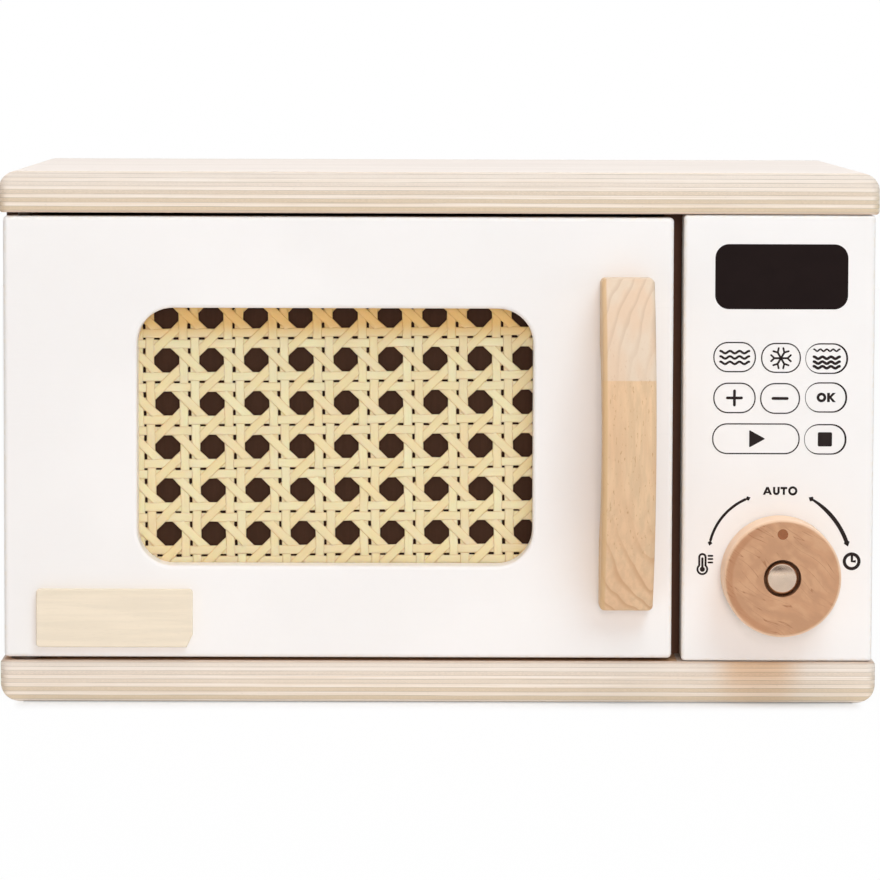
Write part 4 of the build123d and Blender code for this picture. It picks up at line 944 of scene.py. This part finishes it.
def print_keys():
    """Eight outlined keys with their signs."""
    ink = Print()
    line = sizes().key_line / MM
    for name, (left, right, bottom, top) in KEYS.items():
        x, z = key_centre(name)
        width, height = right - left, top - bottom
        heavy = 0.24 if name in ("heat", "accept", "stop") else 0.0
        ink.ring(rounded(x, z, width, height, height / 2 - 0.2),
                 rounded(x - heavy, z, width - 2 * line, height - 2 * line, height / 2 - 0.2 - line))
    x, z = key_centre("defrost")
    for rise in (1.78, -0.13, -2.07):
        ink.stroke(wave(x + 0.05, z + rise, 5.15, 3.43, 0.42), 0.82)
    x, z = key_centre("freeze")
    middle = (x, z - 0.1)
    for arm in range(6):
        angle = math.tau * arm / 6
        ink.stroke([on_circle(*middle, 0.0, angle), on_circle(*middle, 2.5, angle)], 0.72)
        for turn in (-0.3, 0.3):
            ink.stroke([on_circle(*middle, 2.35, angle), on_circle(*middle, 3.7, angle + turn)], 0.68)
    x, z = key_centre("heat")
    ink.stroke(wave(x, z + 3.0, 4.6, 2.3, 0.36), 0.6)
    for rise in (0.3, -1.45, -3.1):
        ink.stroke(wave(x, z + rise, 4.6, 3.07, 0.36), 0.98)
    x, z = key_centre("plus")
    ink.stroke([(x - 2.55, z), (x + 2.55, z)], 1.0)
    ink.stroke([(x, z - 2.55), (x, z + 2.55)], 1.0)
    x, z = key_centre("minus")
    ink.stroke([(x - 2.55, z), (x + 2.55, z)], 1.05)
    x, z = key_centre("accept")
    ink.ring(circle(x - 1.68, z, 1.72), circle(x - 1.68, z, 0.74))
    ink.stroke([(x + 0.85, z - 1.66), (x + 0.85, z + 1.66)], 1.0, round_ends=False)
    ink.patch([(x + 1.1, z - 0.1), (x + 2.35, z - 1.66), (x + 3.5, z - 1.66), (x + 1.95, z + 0.08),
               (x + 3.45, z + 1.66), (x + 2.3, z + 1.66), (x + 1.1, z + 0.28)])
    x, z = key_centre("start")
    ink.patch([(x - 2.4, z - 2.85), (x - 2.15, z - 3.05), (x + 3.1, z - 0.15), (x + 3.1, z + 0.15),
               (x - 2.15, z + 3.05), (x - 2.4, z + 2.85)])
    x, z = key_centre("stop")
    ink.patch(rounded(x - 0.15, z, 5.1, 5.1, 0.5, parts=4))
    return ink


def arc_path(centre, radius, start, end, steps=40):
    """A path along a circle from one angle to another, in degrees."""
    turns = [math.radians(start + (end - start) * step / steps) for step in range(steps + 1)]
    return [on_circle(*centre, radius, turn) for turn in turns]


def arrow_head(ink, tip, inner, length=2.0, width=1.7):
    """A kite-shaped head at a tip, pointing away from the inner point."""
    tip, inner = Vector(tip), Vector(inner)
    along = (inner - tip).normalized()
    side = Vector((-along.y, along.x)) * width / 2
    shoulder = tip + along * length * 0.5
    outline = [tip, shoulder - side, tip + along * length, shoulder + side]
    ink.patch([tuple(point) for point in outline[::-1]])


def bulb_and_stem(x, bulb, top, radius, half):
    """The outline of a thermometer from its bulb's centre and radius, and its stem's top and half width."""
    join = math.asin(half / radius)
    turns = [-math.pi + join + (math.tau - 2 * join) * part / 30 for part in range(31)]
    outline = [(x + radius * math.sin(turn), bulb - radius * math.cos(turn)) for turn in turns]
    return outline + [on_circle(x, top, half, math.pi * part / 12) for part in range(13)]


def print_scale():
    """The dial's two arrowed arcs, its word, and the heat and time signs."""
    ink = Print()
    left = arc_path((119.2, 53.1), 22.3, 170.7, 109.2)
    ink.stroke(left[3:-3], 0.95, round_ends=False)
    arrow_head(ink, left[0], left[5])
    arrow_head(ink, left[-1], left[-6])
    right = arc_path((118.1, 47.8), 30.2, 61.0, 16.8)
    widths = [0.8 + 0.66 * math.sin(math.pi / 2 * min(1.0, step / 16)) for step in range(35)]
    ink.stroke(right[3:-3], widths, round_ends=False)
    arrow_head(ink, right[0], right[5], 2.3, 2.0)
    arrow_head(ink, right[-1], right[-6], 2.9, 2.2)
    low, cap, bold = 75.1, 2.85, 0.8      # foot, height and stroke of the word
    x = 116.3                             # A
    ink.patch([(x - 0.05, low), (x + 0.8, low), (x + 1.6, low + cap - 0.95), (x + 2.4, low), (x + 3.25, low),
               (x + 2.02, low + cap), (x + 1.18, low + cap)])
    ink.stroke([(x + 0.75, low + 0.88), (x + 2.45, low + 0.88)], 0.62, round_ends=False)
    x = 120.0                             # U
    foot = [on_circle(x + 1.1, low + 1.1, 0.8, math.radians(angle)) for angle in range(180, 361, 15)]
    ink.stroke([(x + 0.3, low + cap)] + foot + [(x + 1.9, low + cap)], bold, round_ends=False)
    x = 122.6                             # T
    ink.stroke([(x, low + cap - bold / 2), (x + 2.4, low + cap - bold / 2)], bold, round_ends=False)
    ink.stroke([(x + 1.2, low), (x + 1.2, low + cap - bold / 2)], bold, round_ends=False)
    ink.ring(circle(127.0, low + cap / 2, 1.66), circle(127.0, low + cap / 2, 0.84))
    x, bulb, top = 94.75, 48.2, 54.0      # heat sign
    ink.ring(bulb_and_stem(x, bulb, top - 1.45, 2.1, 1.5), bulb_and_stem(x, bulb, top - 1.45, 1.4, 0.76))
    ink.patch(circle(x, bulb, 0.92, 24))
    ink.stroke([(x, bulb), (x, top - 1.9)], 0.8)
    for rise in (0.0, -1.15, -2.4):
        ink.stroke([(96.95, 53.05 + rise), (98.3, 53.05 + rise)], 0.68)
    x, z = 148.36, 51.19                  # time sign
    ink.ring(circle(x, z, 3.22), circle(x, z, 2.05))
    ink.stroke([(x + 0.1, z + 2.1), (x + 0.1, z), (x + 1.5, z)], 0.95, round_ends=False)
    return ink


# ---- Operators ----------------------------------------------------------------------------------
class DressBoards(bpy.types.Operator):
    """Finish the plywood boards and the turntable"""

    bl_idname = "toy_oven.boards"
    bl_label = "Boards and turntable"

    def execute(self, context):
        pale, warm = colours().face_ply, colours().end_ply
        top = plywood("birch_top", TOP_LOW.z, TOP_HIGH.z, BOARD_PLIES, pale, inside=True)
        # the bottom board carries the dial's painted shadow
        bottom = plywood("birch_bottom", BOTTOM_LOW.z, BOTTOM_HIGH.z, BOARD_PLIES, pale,
                         inside=True, dial_shadow=DIAL_SHADOW_X)
        dress(top, "top_board")
        dress(bottom, "bottom_board")
        dress(plywood("birch_turntable", PLATE_LOW.z, PLATE_HIGH.z, TURNTABLE_PLIES, warm), "turntable_plate")
        return {"FINISHED"}


class DressPaint(bpy.types.Operator):
    """Paint the door, the sides, the control panel and the cavity"""

    bl_idname = "toy_oven.paint"
    bl_label = "Paintwork"

    def execute(self, context):
        door_edges = (("x", DOOR_LOW.x), ("x", DOOR_HIGH.x), ("z", DOOR_LOW.z), ("z", DOOR_HIGH.z))
        panel_edges = (("x", PANEL_LOW.x), ("x", PANEL_HIGH.x), ("z", PANEL_LOW.z), ("z", PANEL_HIGH.z))
        dress(paint("white_door", door_edges), "door_panel")
        dress(paint("white_panel", panel_edges), "control_panel")
        dress(paint("white_right_side", (("y", BACK_LOW.y),)), "right_side_panel")
        # left side: its inner face is the cavity's brown paint; its front edge is brown as painted shade of
        # the gap above the door
        dress(paint("white_left_side", (("y", BACK_LOW.y),), (("x", 1), ("y", -1))), "left_side_panel")
        dress(paint("white_back", (("x", BACK_LOW.x), ("x", BACK_HIGH.x)), (("y", -1),)), "back_panel")
        dress(dark_paint("divider_paint", bare_front=True), "divider_panel")
        dress(dark_paint(), "catch_block", "cane_frame", "window_backing")
        return {"FINISHED"}


class DressWood(bpy.types.Operator):
    """Finish the handle, the dial, its marker, the plate and the bare wooden blocks"""

    bl_idname = "toy_oven.wood"
    bl_label = "Handle, dial and plate"

    def execute(self, context):
        dress(handle_wood(), "door_handle")
        dress(dial_wood(), "dial")
        dress(bare_wood("marker_brown", colours().marker, "y", 0.14), "dial_marker")
        dress(bare_wood("lime_plate", shade(colours().lime, 0.93), "x", 0.05), "name_plate")
        dress(bare_wood("lime_blocks", colours().lime, "z"), "casing_dowels", "lever_block", "gong_post")
        return {"FINISHED"}


class DressHardware(bpy.types.Operator):
    """Finish the display, the metal and the nylon"""

    bl_idname = "toy_oven.hardware"
    bl_label = "Display, metal and nylon"

    def execute(self, context):
        display = smooth_skin("display_black", colours().display, 0.45, mottle=0.1, Specular_IOR_Level=0.06)
        dress(display, "display_panel")
        dress(turned_metal("nickel", colours().nickel, 0.05, "button_cap"), "button_cap")
        dress(turned_metal("brass", colours().brass, 0.2, "bell_gong"), "bell_gong", "hammer")
        dress(smooth_skin("steel", colours().steel, 0.28, 1.0),
              "base_screws", "back_screws", "strike_plate", "strike_screw", "lever_pivot", "gong_screw",
              "turntable_pivot", "cane_frame_screws", "handle_screws", "dial_spindle",
              "button_stem", "striker_lever")
        dress(smooth_skin("spring_steel", shade(colours().steel, 0.85), 0.25, 1.0),
              "click_spring", "pivot_clip", "spindle_clip", "stem_clip")
        # painted shade: the hinge pins, bushes and washer are darkened so the gaps at the door's hinge edge
        # show dark
        dress(smooth_skin("gap_shade_steel", tone(74, 62, 54), 0.4, 0.6), "hinge_pins")
        dress(smooth_skin("magnet", shade(colours().steel, 0.9), 0.18, 1.0), "door_magnet")
        dress(smooth_skin("nylon", colours().nylon, 0.45), "dial_bush", "click_wheel", "turntable_bush")
        dress(smooth_skin("gap_shade_nylon", tone(84, 66, 54), 0.45), "hinge_bushes", "hinge_washer")
        return {"FINISHED"}


class MakeCane(bpy.types.Operator):
    """Weave the cane in the door's window"""

    bl_idname = "toy_oven.cane"
    bl_label = "Woven cane"

    def execute(self, context):
        weave = weave_cane()
        piece = make_piece("cane_strands", weave.points, weave.faces, cane_skin())
        layer = piece.data.uv_layers.new(name="strand")
        for loop in piece.data.loops:
            layer.data[loop.index].uv = weave.marks[loop.vertex_index]
        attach(piece, "door")
        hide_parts("cane_webbing")
        return {"FINISHED"}


class MakePrints(bpy.types.Operator):
    """Print the keys and the dial's scale on the control panel"""

    bl_idname = "toy_oven.prints"
    bl_label = "Printed keys and scale"

    def execute(self, context):
        ink = smooth_skin("ink", colours().ink, 0.5, mottle=0.08, Specular_IOR_Level=0.06)
        for name, drawing in (("key_prints", print_keys()), ("dial_scale_prints", print_scale())):
            piece = drawing.piece(name, ink)
            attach(piece, "cabinet")
        return {"FINISHED"}


class MakeCoil(bpy.types.Operator):
    """Wind the coil behind the bell button"""

    bl_idname = "toy_oven.coil"
    bl_label = "Button coil"

    def execute(self, context):
        low, high = box_mm("button_spring")
        press = next(joint for joint in frame["joints"] if joint["name"] == "button_press")
        travel = press["range_m"][1] / MM
        wire = sizes().coil_wire / MM / 2
        radius = sizes().coil_across / MM / 2 - wire
        turns, around, sides = sizes().coil_turns, 28, 8
        centre_x, centre_z = (low.x + high.x) / 2, (low.z + high.z) / 2
        start, end = low.y + wire, high.y - wire
        points, faces = [], []
        for step in range(turns * around + 1):
            angle = math.tau * step / around
            share = step / (turns * around)
            outward = Vector((math.cos(angle), 0, math.sin(angle)))
            centre = Vector((centre_x, start + (end - start) * share, centre_z)) + outward * radius
            for side in range(sides):
                turn = math.tau * side / sides
                forward = Vector((0, wire * math.sin(turn), 0))
                points.append(tuple(centre + outward * wire * math.cos(turn) + forward))
        for step in range(turns * around):
            for side in range(sides):
                after = (side + 1) % sides
                here, there = step * sides, (step + 1) * sides
                faces.append((here + side, here + after, there + after, there + side))
        faces.append(tuple(range(sides))[::-1])
        faces.append(tuple(range(turns * around * sides, turns * around * sides + sides)))
        coil = make_piece("button_coil", points, faces, smooth_skin("coil_steel", colours().steel, 0.25, 1.0))
        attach(coil, "button")
        1 - travel / (high.y - low.y)
        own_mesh(coil)
        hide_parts("button_spring")
        return {"FINISHED"}


class MakeStage(bpy.types.Operator):
    """Set out the floor, the surroundings, the lamps and the camera"""

    bl_idname = "toy_oven.stage"
    bl_label = "Stage"

    def execute(self, context):
        self.floor()
        self.surroundings(context)
        self.lamps()
        self.camera(context)
        return {"FINISHED"}

    @staticmethod
    def floor():
        """A pale floor that keeps the shadow, has a painted contact shadow close round the oven, and fades to
        plain white away from it.
        """
        finish = new_finish("floor_white")
        x, y, _ = finish.place()
        rounded_end, side_factor = 9.0, 36.0
        beyond_x = (abs(x) - (TOP_HIGH.x - rounded_end)).at_least(0.0)
        beyond_y = (abs(y) - TOP_HIGH.y).at_least(0.0)
        distance = (beyond_x * beyond_x * side_factor + beyond_y * beyond_y) ** 0.5
        away = finish.shape(distance, 2.0, 26.0, 0.0, 0.97)
        rays = finish.node("LightPath").socket.node.outputs
        seen = Signal(finish, rays["Is Camera Ray"])
        point = finish.node("TexCoord", output="Object")
        cloud = finish.noise(point, scale=3.0, detail=2.0)
        pale = finish.mix(cloud, (0.9, 0.915, 0.935), (0.92, 0.93, 0.945))
        # painted contact shadow: the floor's colour darker within 6 mm of the oven
        near = finish.mix(finish.shape(distance, 0.0, 6.0), (0.58, 0.6, 0.63), pale)
        matt = finish.node("BsdfPrincipled", inputs={
            "Base Color": near, "Roughness": 0.8, "Specular IOR Level": 0.1,
        })
        glow = finish.node("Emission", inputs={"Color": (1, 1, 1), "Strength": 1.0})
        above = finish.node("MixShader", inputs={0: away * seen, 1: matt, 2: glow})
        # seen through from below and under the oven, so that its underside shows and is lit
        under = (abs(x) < TOP_HIGH.x - 7.5) * (abs(y) < TOP_HIGH.y - 2.0)
        below = finish.node("NewGeometry", output="Backfacing").at_least(under)
        clear = finish.node("BsdfTransparent")
        mixed = finish.node("MixShader", inputs={0: below, 1: above, 2: clear})
        finish.node("OutputMaterial", inputs={"Surface": mixed})
        side, level = 3000, -0.02         # just below the oven, so that their faces never coincide
        corners = [(-side, -side, level), (side, -side, level), (side, side, level), (-side, side, level)]
        floor = make_piece("floor", corners, [(0, 1, 2, 3)], finish.owner)

    @staticmethod
    def surroundings(context):
        """Plain white all round for the camera, a soft warm fill, and a grey band that metal mirrors."""
        world = bpy.data.worlds.new("surroundings")
        context.scene.world = world
        finish = Finish(world)
        rays = finish.node("LightPath").socket.node.outputs
        seen, glossy = Signal(finish, rays["Is Camera Ray"]), Signal(finish, rays["Is Glossy Ray"])
        sideways, _, up = finish.split(finish.node("TexCoord", output="Generated"))
        band = finish.shape(up, 0.02, 0.09) * finish.shape(up, 0.14, 0.2, 1.0, 0.0)
        band = band * finish.shape(sideways, 0.0, 0.25, 1.0, 0.7)
        mirrored = finish.mix(band, (1, 1, 1), (0.2, 0.18, 0.19))
        fill = tuple(channel * studio().ambient for channel in studio().fill_colour)
        colour = finish.mix(glossy, fill, mirrored)
        colour = finish.mix(seen, colour, (1, 1, 1))
        back = finish.node("Background", inputs={"Color": colour, "Strength": 1.0})
        finish.node("OutputWorld", inputs={"Surface": back})

    @staticmethod
    def lamps():
        """Soft lamps: a key from the upper right, a front fill and one overhead."""
        aim = Vector((0, -0.05, 0.09))
        for name, (side, rise, distance, width, height, watts, colour) in LAMPS.items():
            side, rise = math.radians(side), math.radians(rise)
            level = math.cos(rise)
            towards = Vector((math.sin(side) * level, -math.cos(side) * level, math.sin(rise)))
            data = bpy.data.lights.new(name, "AREA")
            data.energy = watts * studio().lamp_strength
            data.color = colour
            data.shape = "RECTANGLE"
            data.size, data.size_y = width, height
            lamp = bpy.data.objects.new(name, data)
            lamp.location = aim + towards * distance
            lamp.rotation_euler = (-towards).to_track_quat("-Z", "Y").to_euler()
            lamp.visible_glossy = False
            bpy.context.scene.collection.objects.link(lamp)

    @staticmethod
    def camera(context):
        """A long lens from far in front, a little above the oven's middle."""
        data = bpy.data.cameras.new("camera")
        data.lens = studio().lens
        data.sensor_width = 36
        data.clip_end = 20
        camera = bpy.data.objects.new("camera", data)
        upright, tilt, roll = (
            Matrix.Rotation(math.radians(angle), 4, axis) for angle, axis in zip(CAMERA_TURN, "ZXZ")
        )
        camera.matrix_world = Matrix.Translation(Vector(CAMERA_PLACE) * MM) @ (upright @ tilt @ roll)
        context.scene.collection.objects.link(camera)
        context.scene.camera = camera
        context.scene.view_settings.view_transform = "Standard"


STEPS = (DressBoards, DressPaint, DressWood, DressHardware, MakeCane, MakePrints, MakeCoil, MakeStage)


class ToyOvenPanel(bpy.types.Panel):
    """The steps that dress the oven, with their colours and sizes."""

    bl_idname = "VIEW3D_PT_toy_oven"
    bl_label = "Toy oven"
    bl_space_type = "VIEW_3D"
    bl_region_type = "UI"
    bl_category = "Toy oven"

    def draw(self, context):
        for step in STEPS:
            self.layout.operator(step.bl_idname)
        for group in (colours(), sizes(), studio()):
            column = self.layout.column()
            for name in group.bl_rna.properties.keys():
                if name not in ("rna_type", "name"):
                    column.prop(group, name)


CLASSES = (ToyOvenColours, ToyOvenSizes, ToyOvenStudio, *STEPS, ToyOvenPanel)


def register():
    """Adds the classes, and their groups to the scene."""
    for kind in CLASSES:
        bpy.utils.register_class(kind)
    bpy.types.Scene.toy_oven_colours = PointerProperty(type=ToyOvenColours)
    bpy.types.Scene.toy_oven_sizes = PointerProperty(type=ToyOvenSizes)
    bpy.types.Scene.toy_oven_studio = PointerProperty(type=ToyOvenStudio)


def unregister():
    """Takes the groups and the classes away again."""
    for name in ("toy_oven_colours", "toy_oven_sizes", "toy_oven_studio"):
        delattr(bpy.types.Scene, name)
    for kind in reversed(CLASSES):
        bpy.utils.unregister_class(kind)


def main():
    """Runs the steps in order."""
    register()
    for step in STEPS:
        group, name = step.bl_idname.split(".")
        getattr(getattr(bpy.ops, group), name)()
    bpy.context.view_layer.update()


if __name__ == "__main__":
    main()
